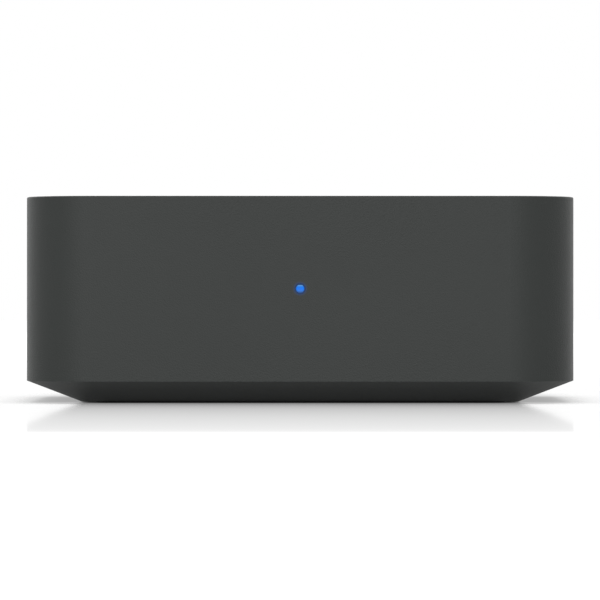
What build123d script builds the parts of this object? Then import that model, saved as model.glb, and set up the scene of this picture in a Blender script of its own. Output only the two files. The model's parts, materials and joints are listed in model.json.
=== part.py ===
from build123d import *
from math import cos, pi, radians, tan
import os

os.makedirs("parts", exist_ok=True)

# A small box that joins an older stereo to a home network. It is seen from the
# front along +Y, with +X to the right and +Z up. The origin is the middle of
# the foot's underside. All sizes are in millimetres.

# Case: an upright cover on a shallow tray with sloping sides
body_width = 125.0
body_depth = 125.0
body_height = 47.0
corner_radius = 15.0
cover_wall = 2.2
cover_roof = 2.4
top_edge_radius = 0.4
crease_height = 5.1
chamfer_run = 12.5
base_corner_radius = 2.5
tray_floor = 2.2
tray_rim = 6.1
lip_height = 2.6
lip_thickness = 1.2
case_clearance = 0.15

# Foot: one rubber pad in a shallow recess under the tray
foot_proud = 0.3
foot_thickness = 1.2
foot_inset = 3.0
foot_corner_radius = 5.0
foot_clearance = 0.1
foot_edge_radius = 0.12

# Screws that hold the cover to the tray, hidden by the foot
case_screw_inset = 9.5
case_screw_radius = 1.5
case_screw_length = 12.0
case_screw_head_radius = 2.75
case_screw_head_height = 1.8
case_boss_radius = 4.6
case_boss_height = 5.5
case_post_radius = 3.6
recess_depth_spare = 0.2
tip_room = 1.0
screw_clearance = 0.05
hole_clearance = 0.2

# Vents through the tray and the foot, and the bare label place in the foot
vent_length = 24.0
vent_width = 2.0
vent_pitch = 5.0
vent_rows = 6
vent_spacing = 34.0
vent_margin = 0.6
label_width = 56.0
label_depth = 12.0
label_corner_radius = 1.0
label_sink = 0.25
label_y = -31.0

# Main circuit board and the screws that hold it
board_side_gap = 8.3
board_thickness = 1.6
board_top = 14.0
board_rear_gap = 1.0
board_front_gap = 3.3
board_corner_radius = 3.0
board_screw_side_inset = 5.0
board_screw_front_inset = 32.0
board_screw_rear_inset = 33.0
board_screw_radius = 1.25
board_screw_length = 6.0
board_screw_head_radius = 2.3
board_screw_head_height = 1.6
standoff_radius = 3.0
post_gap = 0.9

# Opening in the back of the case and the connector plate behind it
opening_side = 17.5
opening_margin = 0.4
opening_corner_radius = 2.5
sill_top = 10.0
panel_thickness = 1.8
panel_overlap = 2.0
panel_corner_radius = 1.5

# The row of connectors in the opening: the room at its ends and the height of
# each axis above the board
row_margin = 1.0
switch_axis = 4.0
power_axis = 6.5
optical_axis = 6.6
aux_axis = 6.0
line_axis = 8.5

# Connect button and the side-acting switch that it presses
button_radius = 2.75
button_proud = 0.7
button_flange_radius = 3.5
button_flange_thickness = 0.8
button_stem_radius = 1.3
button_edge_radius = 0.3
switch_travel = 0.35
running_gap = 0.05
slide_clearance = 0.12
switch_width = 4.6
switch_height = 6.2
switch_depth = 4.0
switch_face_gap = 4.4
plunger_radius = 1.2
plunger_reach = 1.5
plunger_depth = 1.2

# Reset switch under the board, pressed with a pin through a hole in the foot
reset_size = 6.0
reset_height = 3.5
reset_plunger_radius = 1.75
reset_plunger_proud = 1.5
reset_plunger_depth = 1.0
reset_travel = 0.25
reset_hole_radius = 0.8
reset_y = 30.0

# Power inlet
power_body_width = 9.0
power_body_height = 11.0
power_body_depth = 12.0
power_nose_radius = 4.3
power_bore_radius = 3.15
power_bore_depth = 9.5
power_nose_bevel = 0.4
power_pin_radius = 1.0
power_pin_sink = 0.8
power_pin_root = 1.5
power_root_step = 0.2
power_pin_round = 0.5
power_leaf_width = 2.4
power_leaf_thickness = 0.3

# Network socket
network_width = 16.2
network_height = 13.5
network_depth = 21.3
network_proud = 0.4
network_sheet = 0.3
network_plug_width = 11.8
network_plug_height = 6.9
network_plug_depth = 13.0
network_plug_lift = 4.2
latch_width = 6.2
latch_height = 1.6
latch_tip_width = 3.4
latch_tip_height = 1.3
contact_count = 8
contact_pitch = 1.02
contact_width = 0.36
contact_thickness = 0.3
contact_drop = 2.1
contact_setback = 3.0
contact_length = 6.5
indicator_width = 2.5
indicator_height = 1.5
indicator_length = 6.0

# Optical output with its spring shutter
optical_side_wall = 0.9
optical_top_wall = 1.5
optical_back_wall = 1.2
optical_port_width = 8.4
optical_port_height = 8.2
optical_port_chamfer = 1.2
optical_frame_wall = 1.2
optical_frame_depth = 2.1
optical_frame_round = 0.3
shutter_overlap = 0.4
shutter_thickness = 0.9
shutter_knuckle_radius = 1.0
shutter_pin_radius = 0.4
shutter_pin_seat = 0.6
shutter_gap = 0.1
shutter_room = 0.3
spring_seat = 3.0
spring_drop = 0.9
spring_run = 1.6
spring_width = 2.4
spring_thickness = 0.15
emitter_width = 6.0
emitter_depth = 2.6
emitter_lens_radius = 1.5
emitter_lens_depth = 0.75
emitter_lens_round = 0.5

# Sockets for a 3.5 mm plug and for the two line-level plugs
aux_body_wall = 0.7
aux_body_depth = 13.0
aux_bore_radius = 1.8
aux_bore_depth = 11.4
aux_neck_radius = 3.0
aux_neck_proud = 1.9
aux_neck_seat = 1.0
aux_nut_radius = 4.2
aux_nut_thickness = 1.4
aux_nut_notches = 4
aux_notch_width = 1.0
aux_notch_depth = 0.6
aux_slot_width = 1.1
aux_slot_depth = 1.0
aux_contact_thickness = 0.25
aux_contact_length = 3.2
aux_sleeve_contact = 5.2
aux_tip_contact = 9.8
line_spacing = 12.5
line_ring_radius = 5.0
line_ring_proud = 1.0
line_ring_round = 0.3
line_root_step = 0.2
line_barrel_radius = 4.15
line_barrel_wall = 0.6
line_barrel_bevel = 0.25
line_barrel_reach = 8.5
line_barrel_seat = 1.5
line_web = 1.2
line_core_sink = 0.7
line_contact_radius = 1.65
line_contact_wall = 0.35
line_contact_tail = 3.0
line_body_wall = 0.2
line_body_roof = 1.1
line_body_depth = 12.0
seat_clearance = 0.05

# Screws through the plate into the optical and line connectors
panel_screw_radius = 1.3
panel_screw_length = 8.0
panel_screw_head_radius = 2.4
panel_screw_head_height = 1.4
panel_screw_rise = 2.6
lug_width = 7.0
lug_margin = 2.6

# Cross recess and rounded edge of every screw head
cross_length = 2.6
cross_width = 0.7
cross_depth = 0.8
head_round = 0.5

# Status lamp and the clear guide that leads its light to the front
lamp_width = 2.0
lamp_depth = 1.25
lamp_height = 0.8
lamp_gap = 0.3
guide_tip_radius = 0.9
guide_arm_radius = 1.3
guide_stem = 3.0
guide_reach = 8.0
guide_plate_width = 9.5
guide_plate_height = 5.0
guide_plate_thickness = 1.0
guide_dome = 0.15
stake_spacing = 6.6
stake_radius = 0.6
stake_proud = 0.6

# Processor, its memory and the screening can over them
shield_width = 34.0
shield_depth = 30.0
shield_height = 2.8
shield_sheet = 0.2
shield_x = -2.0
shield_y = -4.0
shield_lid_drop = 1.8
shield_hole_radius = 0.9
shield_hole_pitch = 5.0
processor_size = 14.0
processor_thickness = 1.3
processor_bevel = 0.2
processor_shift = 6.8
pad_size = 11.0
memory_width = 8.0
memory_depth = 10.0
memory_thickness = 0.9
memory_shift = 8.5

# Radio module, its aerials and their coaxial leads
radio_width = 18.0
radio_depth = 14.0
radio_board = 0.8
radio_side_inset = 26.0
radio_inset = 27.0
radio_can_width = 11.0
radio_can_depth = 10.0
radio_can_height = 1.8
radio_can_round = 0.35
radio_edge = 0.5
aerial_plug_radius = 1.3
aerial_plug_height = 1.4
aerial_plug_edge = 0.3
aerial_crimp = 1.7
aerial_crimp_width = 1.5
lead_radius = 0.55
aerial_length = 36.0
aerial_height = 9.0
aerial_thickness = 0.8
aerial_inset = 28.5
aerial_drop = 8.0
lead_overlap = 3.0

# Chips with legs along two sides: body and pitch
chip_lift = 0.1
leg_reach = 0.8
leg_bite = 0.2
leg_height = 0.6
leg_share = 0.5
leg_end_gap = 0.5
converter_width = 4.4
converter_depth = 9.7
converter_height = 1.1
converter_pitch = 0.65
network_chip_width = 5.0
network_chip_depth = 6.5
network_chip_height = 1.0
small_chip_width = 3.9
small_chip_depth = 4.9
small_chip_height = 1.5
small_chip_pitch = 1.27

# Capacitors, coils, crystals and small passive parts on the board
capacitor_radius = 4.0
capacitor_height = 10.5
capacitor_base = 1.0
capacitor_round = 0.4
coil_size = 7.0
coil_height = 4.0
coil_corner_radius = 1.2
coil_eye_radius = 2.3
coil_eye_depth = 0.4
crystal_width = 3.2
crystal_depth = 2.5
crystal_height = 0.8
passive_length = 1.6
passive_width = 0.8
passive_height = 0.6
passive_pitch = 2.4

# Places on the board: from its left or right edge, seen from the front, or from
# its middle, and from its rear edge or its middle
amplifier_insets = [(20.0, 21.0), (20.0, 33.0)]
converter_inset = (28.0, 31.0)
left_passives_inset = (38.0, 31.0)
capacitor_insets = [(14.0, 28.0), (23.0, 28.0)]
coil_insets = [(16.0, 8.0), (16.0, -2.0)]
regulator_insets = [(26.0, 4.0), (26.0, -10.0)]
side_passives_inset = (22.0, -8.0)
network_chip_place = (12.0, 31.0)
network_crystal_gap = 2.9
network_crystal_inset = 24.0
middle_passives_place = (4.0, 33.0)
processor_crystal_gap = 4.0
side_passives_grid_count = (3, 6)
left_passives_grid_count = (3, 4)
middle_passives_grid_count = (2, 4)

# Levels and faces that several pieces share
front = -body_depth / 2
back = body_depth / 2
side = body_width / 2
opening_width = body_width - 2 * opening_side
roof_underside = body_height - cover_roof
base_width = body_width - 2 * chamfer_run
base_depth = body_depth - 2 * chamfer_run
base_bottom = foot_proud
floor_top = base_bottom + tray_floor
chamfer_slope = chamfer_run / (crease_height - base_bottom)
inner_width = body_width - 2 * cover_wall
inner_depth = body_depth - 2 * cover_wall
inner_corner_radius = corner_radius - cover_wall
front_inside = front + cover_wall
side_inside = side - cover_wall
lip_top = crease_height + lip_height
panel_outer = back - cover_wall - case_clearance
panel_inner = panel_outer - panel_thickness
lamp_level = (crease_height + body_height) / 2

foot_width = base_width - 2 * foot_inset
foot_depth = base_depth - 2 * foot_inset
case_screw_x = base_width / 2 - case_screw_inset
case_screw_y = base_depth / 2 - case_screw_inset
case_screw_places = [
    (x, y)
    for x in (-case_screw_x, case_screw_x)
    for y in (-case_screw_y, case_screw_y)
]
case_boss_top = floor_top + case_boss_height
case_head_seat = foot_thickness + case_screw_head_height + recess_depth_spare

board_bottom = board_top - board_thickness
board_width = inner_width - 2 * board_side_gap
board_front = front_inside + board_front_gap
board_rear = panel_inner - board_rear_gap
board_depth = board_rear - board_front
board_middle = (board_front + board_rear) / 2
board_screw_x = board_width / 2 - board_screw_side_inset
board_screw_places = [
    (x, y)
    for x in (-board_screw_x, board_screw_x)
    for y in (board_front + board_screw_front_inset, board_rear - board_screw_rear_inset)
]
power_level = board_top + power_axis
optical_level = board_top + optical_axis
aux_level = board_top + aux_axis
line_level = board_top + line_axis
switch_level = board_top + switch_axis

# Optical port, and the pocket behind it in which the shutter swings up on its pin
port_floor = optical_level - optical_port_height / 2
port_ceiling = optical_level + optical_port_height / 2
frame_back = panel_outer - optical_frame_depth
shutter_front = frame_back - shutter_gap
hinge_y = shutter_front - shutter_knuckle_radius
hinge_z = port_ceiling + shutter_knuckle_radius + shutter_gap
shutter_width = optical_port_width + 2 * shutter_overlap
shutter_floor = port_floor - shutter_overlap
shutter_reach = ((hinge_z - shutter_floor) ** 2 + shutter_knuckle_radius**2) ** 0.5
pocket_width = shutter_width + 2 * slide_clearance
shutter_pin_length = pocket_width + 2 * shutter_pin_seat
pocket_floor = hinge_z - shutter_reach - shutter_room
pocket_ceiling = hinge_z + shutter_knuckle_radius + shutter_room
pocket_back = hinge_y - shutter_reach - shutter_room
optical_body_width = pocket_width + 2 * optical_side_wall
optical_body_top = pocket_ceiling + optical_top_wall
optical_body_depth = panel_inner - pocket_back + emitter_depth + optical_back_wall

# Bodies of the other connectors, and the screws that hold two of them
aux_body_width = 2 * (aux_neck_radius + aux_body_wall)
aux_body_height = aux_axis + aux_neck_radius + aux_body_wall
line_body_width = line_spacing + 2 * (line_ring_radius + line_body_wall)
line_body_top = line_level + line_ring_radius + line_body_roof
panel_screw_level = max(line_body_top, optical_body_top) + panel_screw_rise
lug_top = panel_screw_level + lug_margin
opening_top = panel_screw_level + panel_screw_head_radius + opening_margin
panel_bottom = lip_top
panel_top = opening_top + panel_overlap

# The connectors stand in one row with equal gaps between them. Their places are
# measured across the opening as seen from behind, with left negative
row_widths = [
    2 * button_flange_radius,
    power_body_width,
    network_width,
    optical_body_width,
    2 * aux_nut_radius,
    line_body_width,
]
row_length = opening_width - 2 * row_margin
row_gap = (row_length - sum(row_widths)) / (len(row_widths) - 1)
row_places = [
    sum(row_widths[:n]) + n * row_gap + width / 2 - row_length / 2
    for n, width in enumerate(row_widths)
]
button_x, power_x, network_x, optical_x, aux_x, line_middle_x = row_places
line_left_x = line_middle_x - line_spacing / 2
line_right_x = line_middle_x + line_spacing / 2


def rear_view(y):
    """The upright plane at y, seen from behind: its x runs to the viewer's right."""
    return Plane(origin=(0, y, 0), x_dir=(-1, 0, 0), z_dir=(0, 1, 0))


def side_view(x):
    """The upright plane at x that faces +X: its x runs to the back."""
    return Plane(origin=(x, 0, 0), x_dir=(0, 1, 0), z_dir=(1, 0, 0))


def save(piece, name):
    """Names a finished piece and writes its file."""
    piece.part.label = name
    export_step(piece.part, f"parts/{name}.step")


# Cover: four walls and a roof in one moulding, with posts for the case screws,
# pins for the light guide and an opening at the back that is open downwards
with BuildPart() as top_cover:
    with BuildSketch(Plane.XY.offset(crease_height)):
        RectangleRounded(body_width, body_depth, corner_radius)
    extrude(amount=body_height - crease_height)
    fillet(top_cover.faces().sort_by(Axis.Z)[-1].edges(), top_edge_radius)
    with BuildSketch(Plane.XY.offset(crease_height)):
        RectangleRounded(inner_width, inner_depth, inner_corner_radius)
    extrude(amount=roof_underside - crease_height, mode=Mode.SUBTRACT)
    with BuildSketch(Plane.XY.offset(case_boss_top)):
        with Locations(*case_screw_places):
            Circle(case_post_radius)
    extrude(amount=roof_underside - case_boss_top)
    with BuildSketch(Plane.XY.offset(case_boss_top)):
        with Locations(*case_screw_places):
            Circle(case_screw_radius + screw_clearance)
    extrude(
        amount=case_head_seat + case_screw_length + tip_room - case_boss_top,
        mode=Mode.SUBTRACT,
    )
    with BuildSketch(Plane.XZ.offset(-front_inside)):
        with Locations((0, lamp_level)):
            with GridLocations(stake_spacing, 0, 2, 1):
                Circle(stake_radius)
    extrude(amount=-(guide_plate_thickness + stake_proud))
    with BuildSketch(Plane.XZ.offset(-front_inside)):
        with Locations((0, lamp_level)):
            Circle(guide_tip_radius + seat_clearance)
    extrude(amount=cover_wall, mode=Mode.SUBTRACT)
    opening_height = opening_top - crease_height
    with BuildSketch(rear_view(back)):
        with Locations((0, crease_height + opening_height / 2)):
            Rectangle(opening_width, opening_height)
        fillet(vertices().group_by(Axis.Y)[-1], opening_corner_radius)
    extrude(amount=-cover_wall, mode=Mode.SUBTRACT)
save(top_cover, "top_cover")

# Tray: sloping sides, a flat floor with bosses, a lip that locates the cover
# and a sill that closes the foot of the back opening
cavity_top_width = body_width - 2 * tray_rim
cavity_top_depth = body_depth - 2 * tray_rim
cavity_shrink = 2 * chamfer_slope * (crease_height - floor_top)
lip_width = inner_width - 2 * case_clearance
lip_depth = inner_depth - 2 * case_clearance
lip_corner_radius = inner_corner_radius - case_clearance
with BuildPart() as base_tray:
    with BuildSketch(Plane.XY.offset(base_bottom)):
        RectangleRounded(base_width, base_depth, base_corner_radius)
    with BuildSketch(Plane.XY.offset(crease_height)):
        RectangleRounded(body_width, body_depth, corner_radius)
    loft(ruled=True)
    with BuildSketch(Plane.XY.offset(floor_top)):
        RectangleRounded(
            cavity_top_width - cavity_shrink,
            cavity_top_depth - cavity_shrink,
            base_corner_radius,
        )
    with BuildSketch(Plane.XY.offset(crease_height)):
        RectangleRounded(cavity_top_width, cavity_top_depth, corner_radius - tray_rim)
    loft(ruled=True, mode=Mode.SUBTRACT)
    with BuildSketch(Plane.XY.offset(crease_height)):
        RectangleRounded(lip_width, lip_depth, lip_corner_radius)
        RectangleRounded(
            lip_width - 2 * lip_thickness,
            lip_depth - 2 * lip_thickness,
            lip_corner_radius - lip_thickness,
            mode=Mode.SUBTRACT,
        )
    extrude(amount=lip_height)
    sill_height = sill_top - crease_height
    with BuildSketch(rear_view(back)):
        with Locations((0, crease_height + sill_height / 2)):
            Rectangle(opening_width - 2 * case_clearance, sill_height)
    extrude(amount=-(cover_wall + case_clearance))
    with BuildSketch(Plane.XY.offset(floor_top - tray_floor / 2)):
        with Locations(*case_screw_places):
            Circle(case_boss_radius)
    extrude(amount=case_boss_top - floor_top + tray_floor / 2)
    with BuildSketch(Plane.XY.offset(floor_top - tray_floor / 2)):
        with Locations(*board_screw_places):
            Circle(standoff_radius)
    extrude(amount=board_bottom - floor_top + tray_floor / 2)
    with BuildSketch(Plane.XY.offset(board_bottom)):
        with Locations(*board_screw_places):
            Circle(board_screw_radius + screw_clearance)
    extrude(amount=board_thickness - board_screw_length - tip_room, mode=Mode.SUBTRACT)
    with BuildSketch(Plane.XY.offset(base_bottom)):
        RectangleRounded(
            foot_width + 2 * foot_clearance,
            foot_depth + 2 * foot_clearance,
            foot_corner_radius + foot_clearance,
        )
    extrude(amount=foot_thickness - foot_proud, mode=Mode.SUBTRACT)
    with BuildSketch(Plane.XY.offset(foot_thickness)):
        with Locations(*case_screw_places):
            Circle(case_screw_head_radius + hole_clearance)
    extrude(amount=case_head_seat - foot_thickness, mode=Mode.SUBTRACT)
    with BuildSketch(Plane.XY.offset(case_head_seat)):
        with Locations(*case_screw_places):
            Circle(case_screw_radius + hole_clearance)
    extrude(amount=case_boss_top - case_head_seat, mode=Mode.SUBTRACT)
    with BuildSketch(Plane.XY.offset(base_bottom)):
        with GridLocations(vent_spacing, vent_pitch, 2, vent_rows):
            SlotOverall(vent_length, vent_width)
        with Locations((0, reset_y)):
            Circle(reset_hole_radius)
    extrude(amount=tray_floor, mode=Mode.SUBTRACT)
save(base_tray, "base_tray")

# Foot: a flat rubber pad that fills the recess and stands a little proud
with BuildPart() as foot_pad:
    with BuildSketch():
        RectangleRounded(foot_width, foot_depth, foot_corner_radius)
    extrude(amount=foot_thickness)
    fillet(foot_pad.faces().sort_by(Axis.Z)[0].edges(), foot_edge_radius)
    with BuildSketch():
        with GridLocations(vent_spacing, vent_pitch, 2, vent_rows):
            SlotOverall(vent_length + 2 * vent_margin, vent_width + 2 * vent_margin)
        with Locations((0, reset_y)):
            Circle(reset_hole_radius + vent_margin)
    extrude(amount=foot_thickness, mode=Mode.SUBTRACT)
    with BuildSketch():
        with Locations((0, label_y)):
            RectangleRounded(label_width, label_depth, label_corner_radius)
    extrude(amount=label_sink, mode=Mode.SUBTRACT)
save(foot_pad, "foot_pad")


def screw(plane, radius, length, head_radius, head_height, places):
    """Pan-head screws with a cross recess. The head stands on the plane's +Z side."""
    with BuildPart() as screws:
        with BuildSketch(plane):
            with Locations(*places):
                Circle(radius)
        extrude(amount=-length)
        with BuildSketch(plane):
            with Locations(*places):
                Circle(head_radius)
        extrude(amount=head_height)
        head_faces = [
            max(s.faces(), key=lambda f: (f.center() - plane.origin).dot(plane.z_dir))
            for s in screws.part.solids()
        ]
        fillet([e for f in head_faces for e in f.edges()], head_round)
        with BuildSketch(plane.offset(head_height)):
            with Locations(*places):
                Rectangle(cross_length, cross_width)
                Rectangle(cross_width, cross_length)
        extrude(amount=-cross_depth, mode=Mode.SUBTRACT)
    return screws


case_screws = screw(
    Plane(origin=(0, 0, case_head_seat), x_dir=(1, 0, 0), z_dir=(0, 0, -1)),
    case_screw_radius,
    case_screw_length,
    case_screw_head_radius,
    case_screw_head_height,
    case_screw_places,
)
save(case_screws, "case_screws")

board_screws = screw(
    Plane.XY.offset(board_top),
    board_screw_radius,
    board_screw_length,
    board_screw_head_radius,
    board_screw_head_height,
    board_screw_places,
)
save(board_screws, "board_screws")

# Connector plate: a flat plate behind the back opening, standing on the lip
with BuildPart() as rear_panel:
    with BuildSketch(rear_view(panel_outer)):
        with Locations((0, (panel_bottom + panel_top) / 2)):
            RectangleRounded(
                opening_width + 2 * panel_overlap,
                panel_top - panel_bottom,
                panel_corner_radius,
            )
        with Locations((button_x, switch_level)):
            Circle(button_radius + slide_clearance, mode=Mode.SUBTRACT)
        with Locations((power_x, power_level)):
            Circle(power_nose_radius + seat_clearance, mode=Mode.SUBTRACT)
        with Locations((network_x, board_top + network_height / 2)):
            Rectangle(
                network_width + 2 * hole_clearance,
                network_height + 2 * hole_clearance,
                mode=Mode.SUBTRACT,
            )
        with Locations((optical_x, optical_level)):
            Rectangle(
                optical_port_width + 2 * (optical_frame_wall + seat_clearance),
                optical_port_height + 2 * (optical_frame_wall + seat_clearance),
                mode=Mode.SUBTRACT,
            )
        with Locations((aux_x, aux_level)):
            Circle(aux_neck_radius + slide_clearance, mode=Mode.SUBTRACT)
        with Locations((line_left_x, line_level), (line_right_x, line_level)):
            Circle(line_ring_radius + seat_clearance, mode=Mode.SUBTRACT)
        with Locations((optical_x, panel_screw_level), (line_middle_x, panel_screw_level)):
            Circle(panel_screw_radius + hole_clearance, mode=Mode.SUBTRACT)
    extrude(amount=-panel_thickness)
save(rear_panel, "rear_panel")

panel_screws = screw(
    rear_view(panel_outer),
    panel_screw_radius,
    panel_screw_length,
    panel_screw_head_radius,
    panel_screw_head_height,
    [(optical_x, panel_screw_level), (line_middle_x, panel_screw_level)],
)
save(panel_screws, "panel_screws")

# Main board, cut round the case posts
with BuildPart() as main_board:
    with BuildSketch(Plane.XY.offset(board_bottom)):
        with Locations((0, board_middle)):
            RectangleRounded(board_width, board_depth, board_corner_radius)
        with Locations(*case_screw_places):
            Circle(case_post_radius + post_gap, mode=Mode.SUBTRACT)
        with Locations(*board_screw_places):
            Circle(board_screw_radius + hole_clearance, mode=Mode.SUBTRACT)
    extrude(amount=board_thickness)
save(main_board, "main_board")

# Connect button: a round cap with a flange that keeps it behind the plate and
# a stem that reaches the switch
button_tip = panel_outer + button_proud
button_flange_face = panel_inner - running_gap
button_flange_end = button_flange_face - button_flange_thickness
switch_face = panel_inner - switch_face_gap
plunger_tip = switch_face + plunger_reach
with BuildPart() as connect_button:
    with BuildSketch(rear_view(button_flange_face)):
        with Locations((button_x, switch_level)):
            Circle(button_radius)
    extrude(amount=button_tip - button_flange_face)
    fillet(connect_button.faces().sort_by(Axis.Y)[-1].edges(), button_edge_radius)
    with BuildSketch(rear_view(button_flange_face)):
        with Locations((button_x, switch_level)):
            Circle(button_flange_radius)
    extrude(amount=-button_flange_thickness)
    with BuildSketch(rear_view(button_flange_end)):
        with Locations((button_x, switch_level)):
            Circle(button_stem_radius)
    extrude(amount=-(button_flange_end - plunger_tip - running_gap))
save(connect_button, "connect_button")

with BuildPart() as connect_switch_body:
    with BuildSketch(rear_view(switch_face)):
        with Locations((button_x, board_top + switch_height / 2)):
            Rectangle(switch_width, switch_height)
    extrude(amount=-switch_depth)
    with BuildSketch(rear_view(switch_face)):
        with Locations((button_x, switch_level)):
            Circle(plunger_radius + slide_clearance)
    extrude(amount=-(plunger_depth + 2 * switch_travel), mode=Mode.SUBTRACT)
save(connect_switch_body, "connect_switch_body")

with BuildPart() as connect_switch_plunger:
    with BuildSketch(rear_view(plunger_tip)):
        with Locations((button_x, switch_level)):
            Circle(plunger_radius)
    extrude(amount=-(plunger_reach + plunger_depth))
save(connect_switch_plunger, "connect_switch_plunger")

# Reset switch: hangs under the board over the pinhole, its plunger downwards
reset_face = board_bottom - reset_height
with BuildPart() as reset_switch_body:
    with BuildSketch(Plane.XY.offset(reset_face)):
        with Locations((0, reset_y)):
            Rectangle(reset_size, reset_size)
    extrude(amount=reset_height)
    with BuildSketch(Plane.XY.offset(reset_face)):
        with Locations((0, reset_y)):
            Circle(reset_plunger_radius + slide_clearance)
    extrude(amount=reset_plunger_depth + 2 * reset_travel, mode=Mode.SUBTRACT)
save(reset_switch_body, "reset_switch_body")

with BuildPart() as reset_switch_plunger:
    with BuildSketch(Plane.XY.offset(reset_face - reset_plunger_proud)):
        with Locations((0, reset_y)):
            Circle(reset_plunger_radius)
    extrude(amount=reset_plunger_proud + reset_plunger_depth)
save(reset_switch_plunger, "reset_switch_plunger")

# Power inlet: a block behind the plate with a round nose in the plate's hole
power_bore_end = panel_outer - power_bore_depth
power_leaf_level = power_level - power_bore_radius - power_leaf_thickness
power_root_radius = power_pin_radius - power_root_step
with BuildPart() as power_inlet:
    with BuildSketch(rear_view(panel_inner)):
        with Locations((power_x, board_top + power_body_height / 2)):
            Rectangle(power_body_width, power_body_height)
    extrude(amount=-power_body_depth)
    with BuildSketch(rear_view(panel_inner)):
        with Locations((power_x, power_level)):
            Circle(power_nose_radius)
    extrude(amount=panel_thickness)
    with BuildSketch(rear_view(panel_outer)):
        with Locations((power_x, power_level)):
            Circle(power_bore_radius)
    extrude(amount=-power_bore_depth, mode=Mode.SUBTRACT)
    chamfer(power_inlet.faces().sort_by(Axis.Y)[-1].inner_wires().edges(), power_nose_bevel)
    with BuildSketch(rear_view(panel_inner)):
        with Locations((power_x, power_level - power_bore_radius)):
            Rectangle(
                power_leaf_width + 2 * seat_clearance,
                2 * (power_leaf_thickness + seat_clearance),
            )
    extrude(amount=power_bore_end - panel_inner, mode=Mode.SUBTRACT)
    with BuildSketch(rear_view(power_bore_end)):
        with Locations((power_x, power_level)):
            Circle(power_root_radius + seat_clearance)
    extrude(amount=-power_pin_root, mode=Mode.SUBTRACT)
save(power_inlet, "power_inlet")

with BuildPart() as power_pin:
    with BuildSketch(rear_view(panel_outer - power_pin_sink)):
        with Locations((power_x, power_level)):
            Circle(power_pin_radius)
    extrude(amount=power_pin_sink - power_bore_depth)
    fillet(power_pin.faces().sort_by(Axis.Y)[-1].edges(), power_pin_round)
    with BuildSketch(rear_view(power_bore_end)):
        with Locations((power_x, power_level)):
            Circle(power_root_radius)
    extrude(amount=-power_pin_root)
save(power_pin, "power_pin")

# The sleeve's contact lies in a slot along the bottom of the bore
with BuildPart() as power_leaf:
    with BuildSketch(rear_view(panel_inner - running_gap)):
        with Locations((power_x, power_leaf_level + power_leaf_thickness / 2)):
            Rectangle(power_leaf_width, power_leaf_thickness)
    extrude(amount=power_bore_end - panel_inner + 2 * running_gap)
save(power_leaf, "power_leaf")

# Network socket: a folded steel screen round a moulded core
network_face = panel_outer + network_proud
network_middle = board_top + network_height / 2
core_width = network_width - 2 * network_sheet
core_height = network_height - network_sheet
core_depth = network_depth - network_sheet
plug_floor = board_top + network_plug_lift
plug_ceiling = plug_floor + network_plug_height
with BuildPart() as network_screen:
    with BuildSketch(rear_view(network_face)):
        with Locations((network_x, network_middle)):
            Rectangle(network_width, network_height)
    extrude(amount=-network_depth)
    with BuildSketch(rear_view(network_face)):
        with Locations((network_x, board_top + core_height / 2)):
            Rectangle(core_width, core_height)
    extrude(amount=-core_depth, mode=Mode.SUBTRACT)
save(network_screen, "network_screen")

indicator_side_shift = (network_plug_width - indicator_width) / 2
indicator_level = plug_floor - latch_height / 2 - indicator_height / 2
with BuildPart() as network_core:
    with BuildSketch(rear_view(network_face)):
        with Locations((network_x, board_top + core_height / 2)):
            Rectangle(core_width - 2 * seat_clearance, core_height - 2 * seat_clearance)
    extrude(amount=-(core_depth - seat_clearance))
    with BuildSketch(rear_view(network_face)):
        with Locations((network_x, (plug_floor + plug_ceiling) / 2)):
            Rectangle(network_plug_width, network_plug_height)
        with Locations((network_x, plug_floor - latch_height / 2)):
            Rectangle(latch_width, latch_height)
        with Locations((network_x, plug_floor - latch_height - latch_tip_height / 2)):
            Rectangle(latch_tip_width, latch_tip_height)
    extrude(amount=-network_plug_depth, mode=Mode.SUBTRACT)
    with BuildSketch(rear_view(network_face)):
        with Locations((network_x, indicator_level)):
            with GridLocations(2 * indicator_side_shift, 0, 2, 1):
                Rectangle(
                    indicator_width + 2 * seat_clearance,
                    indicator_height + 2 * seat_clearance,
                )
    extrude(amount=-indicator_length, mode=Mode.SUBTRACT)
save(network_core, "network_core")


def network_indicator(x):
    """A clear window in the socket's face that leads out a lamp's light."""
    with BuildPart() as window:
        with BuildSketch(rear_view(network_face)):
            with Locations((x, indicator_level)):
                Rectangle(indicator_width, indicator_height)
        extrude(amount=-indicator_length)
    return window


save(network_indicator(network_x - indicator_side_shift), "link_indicator")
save(network_indicator(network_x + indicator_side_shift), "traffic_indicator")

# Eight sprung wires slope down and inwards from the roof of the socket
contact_start = network_face - contact_setback
with BuildPart() as network_contacts:
    for n in range(contact_count):
        contact_x = -network_x + (n - (contact_count - 1) / 2) * contact_pitch
        with BuildSketch(side_view(contact_x - contact_width / 2)):
            with BuildLine():
                Polyline(
                    (contact_start, plug_ceiling),
                    (contact_start - contact_length, plug_ceiling - contact_drop),
                    (contact_start - contact_length, plug_ceiling - contact_drop - contact_thickness),
                    (contact_start - contact_thickness, plug_ceiling - contact_thickness),
                    (contact_start, plug_ceiling - contact_thickness),
                    close=True,
                )
            make_face()
        extrude(amount=contact_width)
save(network_contacts, "network_contacts")

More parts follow.
